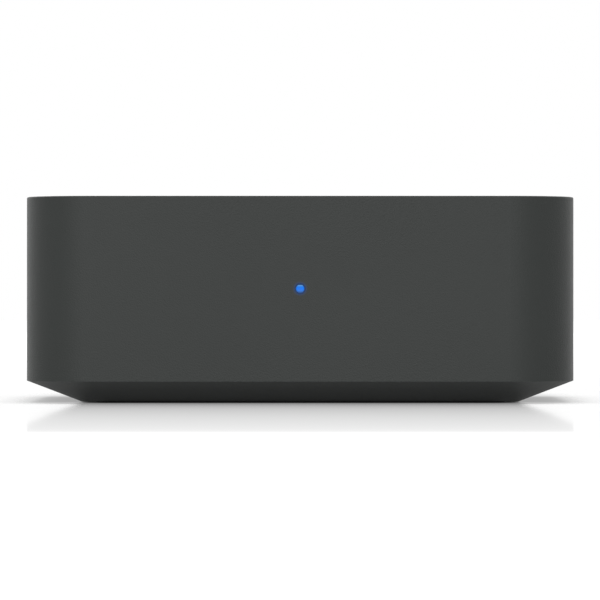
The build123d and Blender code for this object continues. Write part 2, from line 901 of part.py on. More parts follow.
# Optical output: a moulded block round the pocket, with a lug for its screw
with BuildPart() as optical_housing:
    with BuildSketch(rear_view(panel_inner)):
        with Locations((optical_x, (board_top + optical_body_top) / 2)):
            Rectangle(optical_body_width, optical_body_top - board_top)
        with Locations((optical_x, (board_top + lug_top) / 2)):
            Rectangle(lug_width, lug_top - board_top)
    extrude(amount=-optical_body_depth)
    with BuildSketch(rear_view(panel_inner)):
        with Locations((optical_x, optical_level)):
            Rectangle(
                optical_port_width + 2 * optical_frame_wall,
                optical_port_height + 2 * optical_frame_wall,
            )
    extrude(amount=panel_thickness)
    fillet(optical_housing.faces().sort_by(Axis.Y)[-1].edges(), optical_frame_round)
    with BuildSketch(rear_view(panel_outer)):
        with Locations((optical_x, optical_level)):
            Rectangle(optical_port_width, optical_port_height)
        chamfer(vertices().group_by(Axis.Y)[-1], optical_port_chamfer)
    extrude(amount=-optical_frame_depth, mode=Mode.SUBTRACT)
    with BuildSketch(rear_view(frame_back)):
        with Locations((optical_x, (pocket_floor + pocket_ceiling) / 2)):
            Rectangle(pocket_width, pocket_ceiling - pocket_floor)
    extrude(amount=pocket_back - frame_back, mode=Mode.SUBTRACT)
    with BuildSketch(rear_view(pocket_back)):
        with Locations((optical_x, optical_level)):
            Rectangle(
                emitter_width + 2 * seat_clearance, emitter_width + 2 * seat_clearance
            )
    extrude(amount=-emitter_depth, mode=Mode.SUBTRACT)
    with BuildSketch(side_view(-optical_x)):
        with Locations((hinge_y, hinge_z)):
            Circle(shutter_pin_radius + running_gap / 2)
    extrude(amount=shutter_pin_length / 2, both=True, mode=Mode.SUBTRACT)
    with BuildSketch(rear_view(panel_inner)):
        with Locations((optical_x, panel_screw_level)):
            Circle(panel_screw_radius + screw_clearance)
    extrude(
        amount=-(panel_screw_length - panel_thickness + tip_room), mode=Mode.SUBTRACT
    )
save(optical_housing, "optical_housing")

with BuildPart() as optical_shutter:
    with BuildSketch(rear_view(shutter_front)):
        with Locations((optical_x, (shutter_floor + hinge_z) / 2)):
            Rectangle(shutter_width, hinge_z - shutter_floor)
    extrude(amount=-shutter_thickness)
    with BuildSketch(side_view(-optical_x)):
        with Locations((hinge_y, hinge_z)):
            Circle(shutter_knuckle_radius)
    extrude(amount=shutter_width / 2, both=True)
    with BuildSketch(side_view(-optical_x)):
        with Locations((hinge_y, hinge_z)):
            Circle(shutter_pin_radius + running_gap)
    extrude(amount=shutter_width / 2, both=True, mode=Mode.SUBTRACT)
save(optical_shutter, "optical_shutter")

with BuildPart() as shutter_pin:
    with BuildSketch(side_view(-optical_x)):
        with Locations((hinge_y, hinge_z)):
            Circle(shutter_pin_radius)
    extrude(amount=shutter_pin_length / 2, both=True)
save(shutter_pin, "shutter_pin")

# A bent leaf of spring steel under the pocket's ceiling pushes the shutter shut
leaf_back = pocket_back + running_gap
leaf_level = pocket_ceiling - spring_thickness / 2
leaf_bend_level = hinge_z - shutter_knuckle_radius - spring_thickness
leaf_tip = shutter_front - shutter_thickness - running_gap - spring_thickness / 2
with BuildPart() as shutter_spring:
    with BuildSketch(side_view(-optical_x)):
        with BuildLine():
            spring_line = Polyline(
                (leaf_back, leaf_level),
                (leaf_back + spring_seat, leaf_level),
                (leaf_tip - spring_run, leaf_bend_level),
                (leaf_tip, leaf_bend_level - spring_drop),
            )
            offset(spring_line, spring_thickness / 2, side=Side.BOTH)
        make_face()
    extrude(amount=spring_width / 2, both=True)
save(shutter_spring, "shutter_spring")

with BuildPart() as optical_emitter:
    with BuildSketch(rear_view(pocket_back)):
        with Locations((optical_x, optical_level)):
            Rectangle(emitter_width, emitter_width)
    extrude(amount=-emitter_depth)
    with BuildSketch(rear_view(pocket_back)):
        with Locations((optical_x, optical_level)):
            Circle(emitter_lens_radius)
    extrude(amount=emitter_lens_depth)
    fillet(optical_emitter.faces().sort_by(Axis.Y)[-1].edges(), emitter_lens_round)
save(optical_emitter, "optical_emitter")

# Socket for a 3.5 mm plug: a moulded block whose plated bushing passes through
# the plate and takes a round nut
aux_slots = ((aux_sleeve_contact, Align.MIN), (aux_tip_contact, Align.MAX))
with BuildPart() as aux_housing:
    with BuildSketch(rear_view(panel_inner)):
        with Locations((aux_x, board_top + aux_body_height / 2)):
            Rectangle(aux_body_width, aux_body_height)
    extrude(amount=-aux_body_depth)
    with BuildSketch(rear_view(panel_inner)):
        with Locations((aux_x, aux_level)):
            Circle(aux_neck_radius)
    extrude(amount=-aux_neck_seat, mode=Mode.SUBTRACT)
    with BuildSketch(rear_view(panel_inner)):
        with Locations((aux_x, aux_level)):
            Circle(aux_bore_radius)
    extrude(amount=-aux_bore_depth, mode=Mode.SUBTRACT)
    for depth, side_of_bore in aux_slots:
        with BuildSketch(rear_view(panel_inner - depth)):
            with Locations((aux_x, aux_level)):
                Rectangle(
                    aux_slot_width,
                    aux_bore_radius + aux_slot_depth,
                    align=(Align.CENTER, side_of_bore),
                )
        extrude(amount=aux_contact_length, mode=Mode.SUBTRACT)
save(aux_housing, "aux_housing")

with BuildPart() as aux_contacts:
    for depth, side_of_bore in aux_slots:
        with BuildSketch(rear_view(panel_inner - depth)):
            with Locations((aux_x, aux_level)):
                Rectangle(
                    aux_slot_width - 2 * seat_clearance,
                    aux_bore_radius + aux_slot_depth,
                    align=(Align.CENTER, side_of_bore),
                )
            with Locations((aux_x, aux_level)):
                Circle(
                    aux_bore_radius + aux_slot_depth - aux_contact_thickness,
                    mode=Mode.SUBTRACT,
                )
        extrude(amount=aux_contact_length)
save(aux_contacts, "aux_contacts")

with BuildPart() as aux_bushing:
    with BuildSketch(rear_view(panel_inner - aux_neck_seat)):
        with Locations((aux_x, aux_level)):
            Circle(aux_neck_radius)
            Circle(aux_bore_radius, mode=Mode.SUBTRACT)
    extrude(amount=aux_neck_seat + panel_thickness + aux_neck_proud)
    chamfer(aux_bushing.faces().sort_by(Axis.Y)[-1].outer_wire().edges(), aux_notch_depth / 2)
save(aux_bushing, "aux_bushing")

with BuildPart() as aux_nut:
    with BuildSketch(rear_view(panel_outer)):
        with Locations((aux_x, aux_level)):
            Circle(aux_nut_radius)
    extrude(amount=aux_nut_thickness)
    fillet(aux_nut.faces().sort_by(Axis.Y)[-1].edges(), aux_nut_thickness / 4)
    with BuildSketch(rear_view(panel_outer)):
        with Locations((aux_x, aux_level)):
            Circle(aux_neck_radius + running_gap / 2)
            with PolarLocations(aux_nut_radius, aux_nut_notches):
                Rectangle(2 * aux_notch_depth, aux_notch_width)
    extrude(amount=aux_nut_thickness, mode=Mode.SUBTRACT)
save(aux_nut, "aux_nut")

# Line outputs: one block holds two coloured insulators, each with a plated
# barrel round it and a split contact down its middle
web_front = panel_inner - line_barrel_seat
web_back = web_front - line_web
ring_face = panel_outer + line_ring_proud
barrel_end = ring_face + line_barrel_reach
barrel_bore_radius = line_barrel_radius - line_barrel_wall
core_radius = barrel_bore_radius - seat_clearance
root_radius = line_barrel_radius - line_root_step
contact_outer_radius = line_contact_radius + line_contact_wall
with BuildPart() as line_housing:
    with BuildSketch(rear_view(panel_inner)):
        with Locations((line_middle_x, (board_top + line_body_top) / 2)):
            Rectangle(line_body_width, line_body_top - board_top)
        with Locations((line_middle_x, (board_top + lug_top) / 2)):
            Rectangle(lug_width, lug_top - board_top)
    extrude(amount=-line_body_depth)
    with BuildSketch(rear_view(panel_inner)):
        with Locations((line_left_x, line_level), (line_right_x, line_level)):
            Circle(line_ring_radius + seat_clearance)
    extrude(amount=web_back - panel_inner, mode=Mode.SUBTRACT)
    with BuildSketch(rear_view(web_back)):
        with Locations((line_left_x, line_level), (line_right_x, line_level)):
            Circle(contact_outer_radius + seat_clearance)
    extrude(amount=-line_contact_tail, mode=Mode.SUBTRACT)
    with BuildSketch(rear_view(panel_inner)):
        with Locations((line_middle_x, panel_screw_level)):
            Circle(panel_screw_radius + screw_clearance)
    extrude(
        amount=-(panel_screw_length - panel_thickness + tip_room), mode=Mode.SUBTRACT
    )
save(line_housing, "line_housing")


def line_insulator(x):
    """A coloured ring, a web behind it and a core inside the barrel, in one piece."""
    with BuildPart() as insulator:
        with BuildSketch(rear_view(web_back)):
            with Locations((x, line_level)):
                Circle(line_ring_radius)
        extrude(amount=ring_face - web_back)
        fillet(insulator.faces().sort_by(Axis.Y)[-1].edges(), line_ring_round)
        with BuildSketch(rear_view(web_front)):
            with Locations((x, line_level)):
                Circle(root_radius + seat_clearance)
        extrude(amount=ring_face - web_front, mode=Mode.SUBTRACT)
        with BuildSketch(rear_view(web_front)):
            with Locations((x, line_level)):
                Circle(core_radius)
        extrude(amount=barrel_end - line_core_sink - web_front)
        with BuildSketch(rear_view(web_back)):
            with Locations((x, line_level)):
                Circle(contact_outer_radius + seat_clearance)
        extrude(amount=barrel_end - web_back, mode=Mode.SUBTRACT)
    return insulator


save(line_insulator(line_left_x), "line_insulator_left")
save(line_insulator(line_right_x), "line_insulator_right")

with BuildPart() as line_barrels:
    with BuildSketch(rear_view(web_front)):
        with Locations((line_left_x, line_level), (line_right_x, line_level)):
            Circle(root_radius)
            Circle(barrel_bore_radius, mode=Mode.SUBTRACT)
    extrude(amount=ring_face - web_front)
    with BuildSketch(rear_view(ring_face)):
        with Locations((line_left_x, line_level), (line_right_x, line_level)):
            Circle(line_barrel_radius)
            Circle(barrel_bore_radius, mode=Mode.SUBTRACT)
    extrude(amount=line_barrel_reach)
    barrel_ends = line_barrels.faces().filter_by(Plane.XZ).group_by(Axis.Y)[-1]
    chamfer(barrel_ends.edges(), line_barrel_bevel)
save(line_barrels, "line_barrels")

with BuildPart() as line_contacts:
    with BuildSketch(rear_view(web_back - line_contact_tail)):
        with Locations((line_left_x, line_level), (line_right_x, line_level)):
            Circle(contact_outer_radius)
            Circle(line_contact_radius, mode=Mode.SUBTRACT)
    extrude(amount=barrel_end - 2 * line_core_sink - web_back + line_contact_tail)
save(line_contacts, "line_contacts")

# Status lamp on the board and the clear guide above it. The guide is staked to
# the cover, so it lifts away with the cover
stem_y = front_inside + guide_reach
stem_foot = board_top + lamp_height + lamp_gap
stem_top = lamp_level + guide_stem / 2
with BuildPart() as status_lamp:
    with BuildSketch(Plane.XY.offset(board_top)):
        with Locations((0, stem_y)):
            Rectangle(lamp_width, lamp_depth)
    extrude(amount=lamp_height)
save(status_lamp, "status_lamp")

with BuildPart() as light_guide:
    with BuildSketch(side_view(-guide_stem / 2)):
        with BuildLine():
            Polyline(
                (stem_y - guide_stem / 2, stem_foot),
                (stem_y + guide_stem / 2, stem_foot),
                (stem_y + guide_stem / 2, lamp_level - guide_stem / 2),
                (stem_y - guide_stem / 2, stem_top),
                close=True,
            )
        make_face()
    extrude(amount=guide_stem)
    with BuildSketch(Plane.XZ.offset(-front_inside)):
        with Locations((0, lamp_level)):
            Circle(guide_arm_radius)
    extrude(amount=-(guide_reach - guide_stem / 2))
    with BuildSketch(Plane.XZ.offset(-front_inside)):
        with Locations((0, lamp_level)):
            Rectangle(guide_plate_width, guide_plate_height)
            with GridLocations(stake_spacing, 0, 2, 1):
                Circle(stake_radius + seat_clearance, mode=Mode.SUBTRACT)
    extrude(amount=-guide_plate_thickness)
    with BuildSketch(Plane.XZ.offset(-front_inside)):
        with Locations((0, lamp_level)):
            Circle(guide_tip_radius)
    extrude(amount=cover_wall + guide_dome)
    fillet(light_guide.faces().sort_by(Axis.Y)[0].edges(), guide_dome)
save(light_guide, "light_guide")

# Processor and memory, with a screening can over them and a soft pad that
# leads the heat to its lid
shield_top = board_top + shield_height
processor_top = board_top + processor_thickness
processor_place = (shield_x - processor_shift, shield_y)
memory_place = (shield_x + memory_shift, shield_y)
with BuildPart() as processor_chip:
    with BuildSketch(Plane.XY.offset(board_top)):
        with Locations(processor_place):
            Rectangle(processor_size, processor_size)
    extrude(amount=processor_thickness)
    chamfer(processor_chip.faces().sort_by(Axis.Z)[-1].edges(), processor_bevel)
save(processor_chip, "processor_chip")

with BuildPart() as memory_chip:
    with BuildSketch(Plane.XY.offset(board_top)):
        with Locations(memory_place):
            Rectangle(memory_width, memory_depth)
    extrude(amount=memory_thickness)
save(memory_chip, "memory_chip")

with BuildPart() as thermal_pad:
    with BuildSketch(Plane.XY.offset(processor_top)):
        with Locations(processor_place):
            Rectangle(pad_size, pad_size)
    extrude(amount=shield_top - processor_top)
save(thermal_pad, "thermal_pad")

with BuildPart() as shield_frame:
    with BuildSketch(Plane.XY.offset(board_top)):
        with Locations((shield_x, shield_y)):
            Rectangle(shield_width, shield_depth)
            Rectangle(
                shield_width - 2 * shield_sheet,
                shield_depth - 2 * shield_sheet,
                mode=Mode.SUBTRACT,
            )
    extrude(amount=shield_height)
save(shield_frame, "shield_frame")

lid_width = shield_width + 2 * (shield_sheet + seat_clearance)
lid_depth = shield_depth + 2 * (shield_sheet + seat_clearance)
with BuildPart() as shield_lid:
    with BuildSketch(Plane.XY.offset(shield_top - shield_lid_drop)):
        with Locations((shield_x, shield_y)):
            Rectangle(lid_width, lid_depth)
    extrude(amount=shield_lid_drop + shield_sheet)
    with BuildSketch(Plane.XY.offset(shield_top - shield_lid_drop)):
        with Locations((shield_x, shield_y)):
            Rectangle(lid_width - 2 * shield_sheet, lid_depth - 2 * shield_sheet)
    extrude(amount=shield_lid_drop, mode=Mode.SUBTRACT)
    with BuildSketch(Plane.XY.offset(shield_top)):
        with Locations(memory_place):
            with GridLocations(shield_hole_pitch, shield_hole_pitch, 3, 5):
                Circle(shield_hole_radius)
    extrude(amount=shield_sheet, mode=Mode.SUBTRACT)
save(shield_lid, "shield_lid")

# Radio module with its own can and two push-on aerial plugs
radio_top = board_top + radio_board
radio_x = board_width / 2 - radio_side_inset
radio_y = board_front + radio_inset
radio_can_y = radio_y + (radio_depth - radio_can_depth) / 2 - radio_edge
with BuildPart() as radio_module:
    with BuildSketch(Plane.XY.offset(board_top)):
        with Locations((radio_x, radio_y)):
            Rectangle(radio_width, radio_depth)
    extrude(amount=radio_board)
save(radio_module, "radio_module")

with BuildPart() as radio_can:
    with BuildSketch(Plane.XY.offset(radio_top)):
        with Locations((radio_x, radio_can_y)):
            Rectangle(radio_can_width, radio_can_depth)
    extrude(amount=radio_can_height)
    fillet(radio_can.faces().sort_by(Axis.Z)[-1].edges(), radio_can_round)
save(radio_can, "radio_can")

plug_shift = radio_width / 2 - aerial_plug_radius - aerial_plug_edge
plug_y = radio_y - radio_depth / 2 + aerial_plug_radius + aerial_plug_edge
lead_level = radio_top + aerial_plug_height / 2
crimp_end = plug_shift + aerial_plug_radius + aerial_crimp
with BuildPart() as aerial_plugs:
    for way in (-1, 1):
        with BuildSketch(Plane.XY.offset(radio_top)):
            with Locations((radio_x + way * plug_shift, plug_y)):
                Circle(aerial_plug_radius)
            with Locations((radio_x + way * (plug_shift + crimp_end) / 2, plug_y)):
                Rectangle(crimp_end - plug_shift, aerial_crimp_width)
        extrude(amount=aerial_plug_height)
save(aerial_plugs, "aerial_plugs")

# Aerials: printed strips stuck to the inside of the side walls
aerial_top = roof_underside - aerial_drop
aerial_middle = aerial_top - aerial_height / 2
aerial_front = front_inside + aerial_inset


def aerial(way):
    """A strip on the side wall that lies towards way, 1 for +X and -1 for -X."""
    face = way * (side_inside - aerial_thickness)
    with BuildPart() as strip:
        with BuildSketch(side_view(face)):
            with Locations((aerial_front, aerial_middle)):
                Rectangle(aerial_length, aerial_height, align=(Align.MIN, Align.CENTER))
        extrude(amount=way * aerial_thickness)
    return strip


save(aerial(-1), "aerial_left")
save(aerial(1), "aerial_right")

# Coaxial leads: from each plug over the board and up to the foot of a strip
lead_x = side_inside - aerial_thickness - lead_radius - running_gap
lead_top = aerial_top - aerial_height + lead_overlap
rise_y = aerial_front + lead_overlap
right_route = [
    (radio_x + crimp_end, plug_y, lead_level),
    (radio_x + crimp_end + 7.0, plug_y, lead_level),
    (lead_x - 7.5, plug_y + 3.0, lead_level + 0.5),
    (lead_x, rise_y - 2.5, lead_level + 3.5),
    (lead_x, rise_y, lead_top),
]
left_route = [
    (radio_x - crimp_end, plug_y, lead_level),
    (8.0, plug_y, lead_level),
    (-4.0, plug_y + 4.5, lead_level - 0.3),
    (-18.0, plug_y + 4.0, lead_level - 0.3),
    (-34.0, plug_y + 1.0, lead_level),
    (8.5 - lead_x, plug_y + 2.5, lead_level + 0.5),
    (-lead_x, rise_y - 2.5, lead_level + 3.5),
    (-lead_x, rise_y, lead_top),
]


def bend_radii(route):
    """One arc for each corner: 0.45 of its shorter run, over the tangent of half the turn."""
    radii = []
    for before, here, after in zip(route, route[1:], route[2:]):
        run_in = Vector(*here) - Vector(*before)
        run_out = Vector(*after) - Vector(*here)
        half_turn = radians(run_in.get_angle(run_out) / 2)
        radii.append(0.45 * min(run_in.length, run_out.length) / tan(half_turn))
    return radii


def lead(route):
    """A round lead along a route of straight runs joined by arcs."""
    radii = bend_radii(route)
    with BuildPart() as cable:
        with BuildLine() as path:
            FilletPolyline(*route, radius=radii)
        run_out = Vector(*route[1]) - Vector(*route[0])
        with BuildSketch(Plane(origin=route[0], z_dir=run_out)):
            Circle(lead_radius)
        sweep(path=path.line)
    length = sum(run.length for run in path.line.edges())
    share = cable.part.volume / (pi * lead_radius**2 * length)
    print("lead", round(length, 1), "mm long, volume", round(share, 4), "of section times length")
    print("its bend radii:", [round(radius, 1) for radius in radii])
    return cable


save(lead(left_route), "aerial_lead_left")
save(lead(right_route), "aerial_lead_right")


def left_rear(inset):
    """A place measured in from the board's left and rear edges."""
    return (inset[0] - board_width / 2, board_rear - inset[1])


def right_rear(inset):
    """A place measured in from the board's right and rear edges."""
    return (board_width / 2 - inset[0], board_rear - inset[1])


def chips(places, width, depth, height, pitch):
    """Chips with legs along both long sides, each body and its legs in one solid."""
    legs = 1 + int((depth - 2 * leg_end_gap) / pitch)
    with BuildPart() as pieces:
        with BuildSketch(Plane.XY.offset(board_top + chip_lift)):
            with Locations(*places):
                Rectangle(width, depth)
        extrude(amount=height)
        with BuildSketch(Plane.XY.offset(board_top)):
            with Locations(*places):
                with GridLocations(width + leg_reach - leg_bite, pitch, 2, legs):
                    Rectangle(leg_reach + leg_bite, leg_share * pitch)
        extrude(amount=leg_height)
    return pieces


converter_chip = chips(
    [left_rear(converter_inset)],
    converter_width,
    converter_depth,
    converter_height,
    converter_pitch,
)
save(converter_chip, "converter_chip")
network_chip = chips(
    [(network_chip_place[0], board_rear - network_chip_place[1])],
    network_chip_width,
    network_chip_depth,
    network_chip_height,
    converter_pitch,
)
save(network_chip, "network_chip")
amplifier_places = [left_rear(inset) for inset in amplifier_insets]
regulator_places = [(board_width / 2 - x, y) for x, y in regulator_insets]
for name, places in (("amplifier", amplifier_places), ("regulator", regulator_places)):
    small_chips = chips(
        places,
        small_chip_width,
        small_chip_depth,
        small_chip_height,
        small_chip_pitch,
    )
    save(small_chips, f"{name}_chips")

# Capacitors: round cans on square moulded feet
capacitor_places = [right_rear(inset) for inset in capacitor_insets]
with BuildPart() as filter_capacitors:
    with BuildSketch(Plane.XY.offset(board_top)):
        with Locations(*capacitor_places):
            Rectangle(2 * capacitor_radius, 2 * capacitor_radius)
    extrude(amount=capacitor_base)
    with BuildSketch(Plane.XY.offset(board_top + capacitor_base)):
        with Locations(*capacitor_places):
            Circle(capacitor_radius)
    extrude(amount=capacitor_height - capacitor_base)
    can_tops = filter_capacitors.faces().filter_by(Plane.XY).group_by(Axis.Z)[-1]
    fillet(can_tops.edges(), capacitor_round)
save(filter_capacitors, "filter_capacitors")

# Power coils: square screened blocks with a round eye in the top
coil_places = [(board_width / 2 - x, y) for x, y in coil_insets]
with BuildPart() as power_coils:
    with BuildSketch(Plane.XY.offset(board_top)):
        with Locations(*coil_places):
            RectangleRounded(coil_size, coil_size, coil_corner_radius)
    extrude(amount=coil_height)
    with BuildSketch(Plane.XY.offset(board_top + coil_height)):
        with Locations(*coil_places):
            Circle(coil_eye_radius)
    extrude(amount=-coil_eye_depth, mode=Mode.SUBTRACT)
save(power_coils, "power_coils")

# Crystals: one beside the processor's can and one between the network chip and
# the capacitors
capacitor_side = min(x for x, y in capacitor_places) - capacitor_radius
network_crystal_x = capacitor_side - network_crystal_gap - crystal_width / 2
crystal_places = [
    (shield_x - shield_width / 2 - processor_crystal_gap, shield_y + processor_size / 2),
    (network_crystal_x, board_rear - network_crystal_inset),
]
with BuildPart() as crystal_cans:
    with BuildSketch(Plane.XY.offset(board_top)):
        with Locations(*crystal_places):
            Rectangle(crystal_width, crystal_depth)
    extrude(amount=crystal_height)
save(crystal_cans, "crystal_cans")

# Small resistors and capacitors, in rows beside the chips
passive_groups = [
    (
        (side_passives_inset[0] - board_width / 2, side_passives_inset[1]),
        side_passives_grid_count,
    ),
    (left_rear(left_passives_inset), left_passives_grid_count),
    (
        (middle_passives_place[0], board_rear - middle_passives_place[1]),
        middle_passives_grid_count,
    ),
]
with BuildPart() as small_parts:
    with BuildSketch(Plane.XY.offset(board_top)):
        for place, counts in passive_groups:
            with Locations(place):
                with GridLocations(passive_pitch, passive_pitch, *counts):
                    Rectangle(passive_length, passive_width)
    extrude(amount=passive_height)
save(small_parts, "small_parts")
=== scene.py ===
import json
from math import pi, radians

import bmesh
import bpy
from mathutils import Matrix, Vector


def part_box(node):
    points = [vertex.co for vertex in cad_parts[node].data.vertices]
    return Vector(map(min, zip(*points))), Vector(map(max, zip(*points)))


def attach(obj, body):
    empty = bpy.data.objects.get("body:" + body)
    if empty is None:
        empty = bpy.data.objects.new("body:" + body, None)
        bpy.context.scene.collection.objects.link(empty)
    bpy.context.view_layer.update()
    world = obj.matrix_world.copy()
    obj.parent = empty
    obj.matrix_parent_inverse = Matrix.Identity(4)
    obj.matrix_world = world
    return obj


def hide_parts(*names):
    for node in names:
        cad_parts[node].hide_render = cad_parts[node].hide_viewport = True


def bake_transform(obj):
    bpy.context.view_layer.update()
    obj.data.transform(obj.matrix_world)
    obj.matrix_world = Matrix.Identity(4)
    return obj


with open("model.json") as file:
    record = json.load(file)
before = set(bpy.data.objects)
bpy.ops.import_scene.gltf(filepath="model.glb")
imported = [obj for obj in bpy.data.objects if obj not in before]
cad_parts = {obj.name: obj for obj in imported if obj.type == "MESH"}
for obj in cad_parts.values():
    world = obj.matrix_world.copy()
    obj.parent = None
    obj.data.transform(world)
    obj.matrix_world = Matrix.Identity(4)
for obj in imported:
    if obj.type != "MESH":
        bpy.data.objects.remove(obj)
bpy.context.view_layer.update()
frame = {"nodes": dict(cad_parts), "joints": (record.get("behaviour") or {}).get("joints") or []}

# Tray and cover: two mouldings in the same dark grey plastic. Their tools were
# spark-eroded, so the skin has a fine even grain, a little smoother where hands
# hold it. Round the lamp's hole the cover has a painted blue glow and a painted
# dark ring of shade at the hole's edge.


class Wire:
    """A socket of a material's node. Signs of arithmetic on it add Math nodes."""

    def __init__(self, socket):
        self.socket = socket
        self.tree = socket.id_data

    def make(self, kind, settings=None, out=0, **values):
        """Adds a node of that kind, with its settings first and then its sockets."""
        node = self.tree.nodes.new("ShaderNode" + kind)
        for name, value in (settings or {}).items():
            if name == "stops":
                elements = node.color_ramp.elements
                while len(elements) < len(value):
                    elements.new(1.0)
                for element, (place, colour) in zip(elements, value):
                    element.position = place
                    element.color = (*colour, 1.0)
            else:
                setattr(node, name, value)
        for name, value in values.items():
            place = int(name[1:]) if name[1:].isdigit() else name.replace("_", " ")
            if isinstance(value, Wire):
                self.tree.links.new(value.socket, node.inputs[place])
            else:
                node.inputs[place].default_value = value
        return Wire(node.outputs[out]) if node.outputs else None

    def math(self, operation, *values):
        """A Math node of that operation on those values, in their order."""
        sockets = {f"_{number}": value for number, value in enumerate(values)}
        return self.make("Math", {"operation": operation}, **sockets)

    def __add__(self, other):
        return self.math("ADD", self, other)

    def __radd__(self, other):
        return self.math("ADD", other, self)

    def __sub__(self, other):
        return self.math("SUBTRACT", self, other)

    def __rsub__(self, other):
        return self.math("SUBTRACT", other, self)

    def __mul__(self, other):
        return self.math("MULTIPLY", self, other)

    def __rmul__(self, other):
        return self.math("MULTIPLY", other, self)

    def __gt__(self, other):
        return self.math("GREATER_THAN", self, other)

    def __lt__(self, other):
        return self.math("LESS_THAN", self, other)

    def grain(self, scale, detail=2.0, roughness=0.5):
        """Even noise from 0 to 1 with about scale grains in a metre."""
        return self.make(
            "TexNoise", None, "Fac",
            Vector=self, Scale=scale, Detail=detail, Roughness=roughness,
        )

    def cells(self, scale, out="Distance"):
        """Scattered cells, about scale in a metre: how far the nearest middle is."""
        return self.make("TexVoronoi", {"feature": "F1"}, out, Vector=self, Scale=scale)

    def stretched(self, along):
        """Places scaled along the axes, so that noise on them turns into streaks."""
        return self.make("Mapping", {"vector_type": "POINT"}, Vector=self, Scale=along)

    def step(self, low, high):
        """0 below low, 1 above high and a smooth climb between them."""
        return self.make(
            "MapRange", {"interpolation_type": "SMOOTHSTEP"},
            Value=self, From_Min=low, From_Max=high,
        )

    def between(self, first, second):
        """The first colour where this is 0 and the second where it is 1."""
        mixed = {"data_type": "RGBA"}
        return self.make("Mix", mixed, 2, _0=self, _6=first, _7=second)

    def mottle(self, fine, share, dark, light):
        """Dark to light by this broad noise, with that share of a fine one in it."""
        return (self * (1.0 - share) + fine * share).step(0.3, 0.7).between(dark, light)

    def bump(self, height, distance, strength=1.0):
        """Raised and sunk places, up to distance metres, from a height of 0 to 1."""
        return self.make("Bump", None, Height=height, Distance=distance, Strength=strength)

    def parts(self):
        """The x, y and z of a vector."""
        split = self.make("SeparateXYZ", None, Vector=self).socket.node
        return [Wire(split.outputs[n]) for n in range(3)]


def begin(name):
    """A new finish, and where each point lies on the piece, in metres."""
    made = bpy.data.materials.new(name)
    made.use_nodes = True
    made.node_tree.nodes.clear()
    return made, Wire(made.node_tree.nodes.new("ShaderNodeTexCoord").outputs["Object"])


def surface(spot, **values):
    """Ends a finish with the shader that it feeds."""
    shader = spot.make("BsdfPrincipled", None, **values)
    spot.make("OutputMaterial", None, Surface=shader)


def dress(coat, *names):
    """Gives CAD nodes their finish in place of the plain one."""
    for name in names:
        for material_slot in frame["nodes"][name].material_slots:
            material_slot.material = coat


case_grey, worn_grey = (0.0432, 0.0474, 0.0453, 1.0), (0.0450, 0.0493, 0.0471, 1.0)
tray_plastic, spot = begin("tray_plastic")
sparks = spot.grain(4600.0, detail=3.0, roughness=0.62)
surface(
    spot,
    Base_Color=spot.grain(30.0, detail=3.0).mottle(sparks, 0.3, case_grey, worn_grey),
    Roughness=0.52 + 0.08 * sparks,
    Specular_IOR_Level=0.25,
    Normal=spot.bump(sparks, distance=0.00009, strength=0.8),
)
dress(tray_plastic, "base_tray")

lamp_rise, lamp_radius, front_skin = 0.00255, 0.0009, 0.0015
rim_start, rim_end = 0.00105, 0.00150
case_low, case_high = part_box("top_cover")
lamp_level = case_high.z / 2 + lamp_rise
no_light, painted_glow_blue = (0.0, 0.0, 0.0, 1.0), (0.001, 0.028, 0.120, 1.0)
rim_shade = (0.006, 0.008, 0.012, 1.0)
case_plastic, spot = begin("case_plastic")
sparks = spot.grain(4200.0, detail=3.0, roughness=0.62)
handled = spot.grain(9.0, detail=4.0, roughness=0.55).step(0.42, 0.75)
x, y, z = spot.parts()
up = z - lamp_level
from_lamp = x.math("SQRT", x * x + up * up)
in_front = y < case_low.y + front_skin
# Painted glow: the cover gives off blue light of its own round the lamp's hole.
painted_glow_round_lamp = (1.0 - from_lamp.step(lamp_radius, 2 * lamp_radius)) * in_front
# Painted shade: a dark ring at the edge of the lamp's hole.
painted_shade_ring = (1.0 - from_lamp.step(rim_start, rim_end)) * in_front
skin = spot.grain(28.0, detail=3.0).mottle(sparks, 0.3, case_grey, worn_grey)
pits = spot.cells(2600.0)
surface(
    spot,
    Base_Color=painted_shade_ring.between(skin, rim_shade),
    Roughness=0.45 + 0.06 * sparks - 0.03 * handled,
    Specular_IOR_Level=0.20,
    Emission_Color=painted_glow_round_lamp.between(no_light, painted_glow_blue),
    Emission_Strength=1.0,
    Normal=spot.bump(sparks * 0.7 + pits * 0.5, distance=0.00009, strength=0.7),
)
dress(case_plastic, "top_cover")

# Main board: glass-fibre laminate under green solder mask. Copper tracks show as
# slightly raised, paler lines, the pads are tinned, and white ink outlines each
# part. The radio module is a smaller board of the same stuff.


def lumps(name):
    """The lowest and highest corners of each separate solid of a CAD node."""
    mesh = bmesh.new()
    mesh.from_mesh(frame["nodes"][name].data)
    bmesh.ops.remove_doubles(mesh, verts=mesh.verts, dist=0.000001)
    left, found = set(mesh.verts), []
    while left:
        reached, edge = set(), [min(left, key=lambda point: point.co[:])]
        while edge:
            point = edge.pop()
            if point not in reached:
                reached.add(point)
                edge += [line.other_vert(point) for line in point.link_edges]
        left -= reached
        corners = [[point.co[n] for point in reached] for n in range(3)]
        found.append((Vector(map(min, corners)), Vector(map(max, corners))))
    mesh.free()
    return sorted(found, key=lambda box: box[0][:])


def narrower(boxes, size):
    """The boxes, with that much taken off at their left and at their right."""
    aside = Vector((size, 0, 0))
    return [(low + aside, high - aside) for low, high in boxes]


def outside(spot, boxes):
    """How far a point lies outside the nearest of some boxes, seen from above."""
    x, y, z = spot.parts()
    nearest = None
    for low, high in boxes:
        over = []
        for part, start, end in ((x, low.x, high.x), (y, low.y, high.y)):
            shift = part - (start + end) / 2
            over.append(x.math("ABSOLUTE", shift) - (end - start) / 2)
        away = x.math("MAXIMUM", *over)
        nearest = away if nearest is None else x.math("MINIMUM", away, nearest)
    return nearest


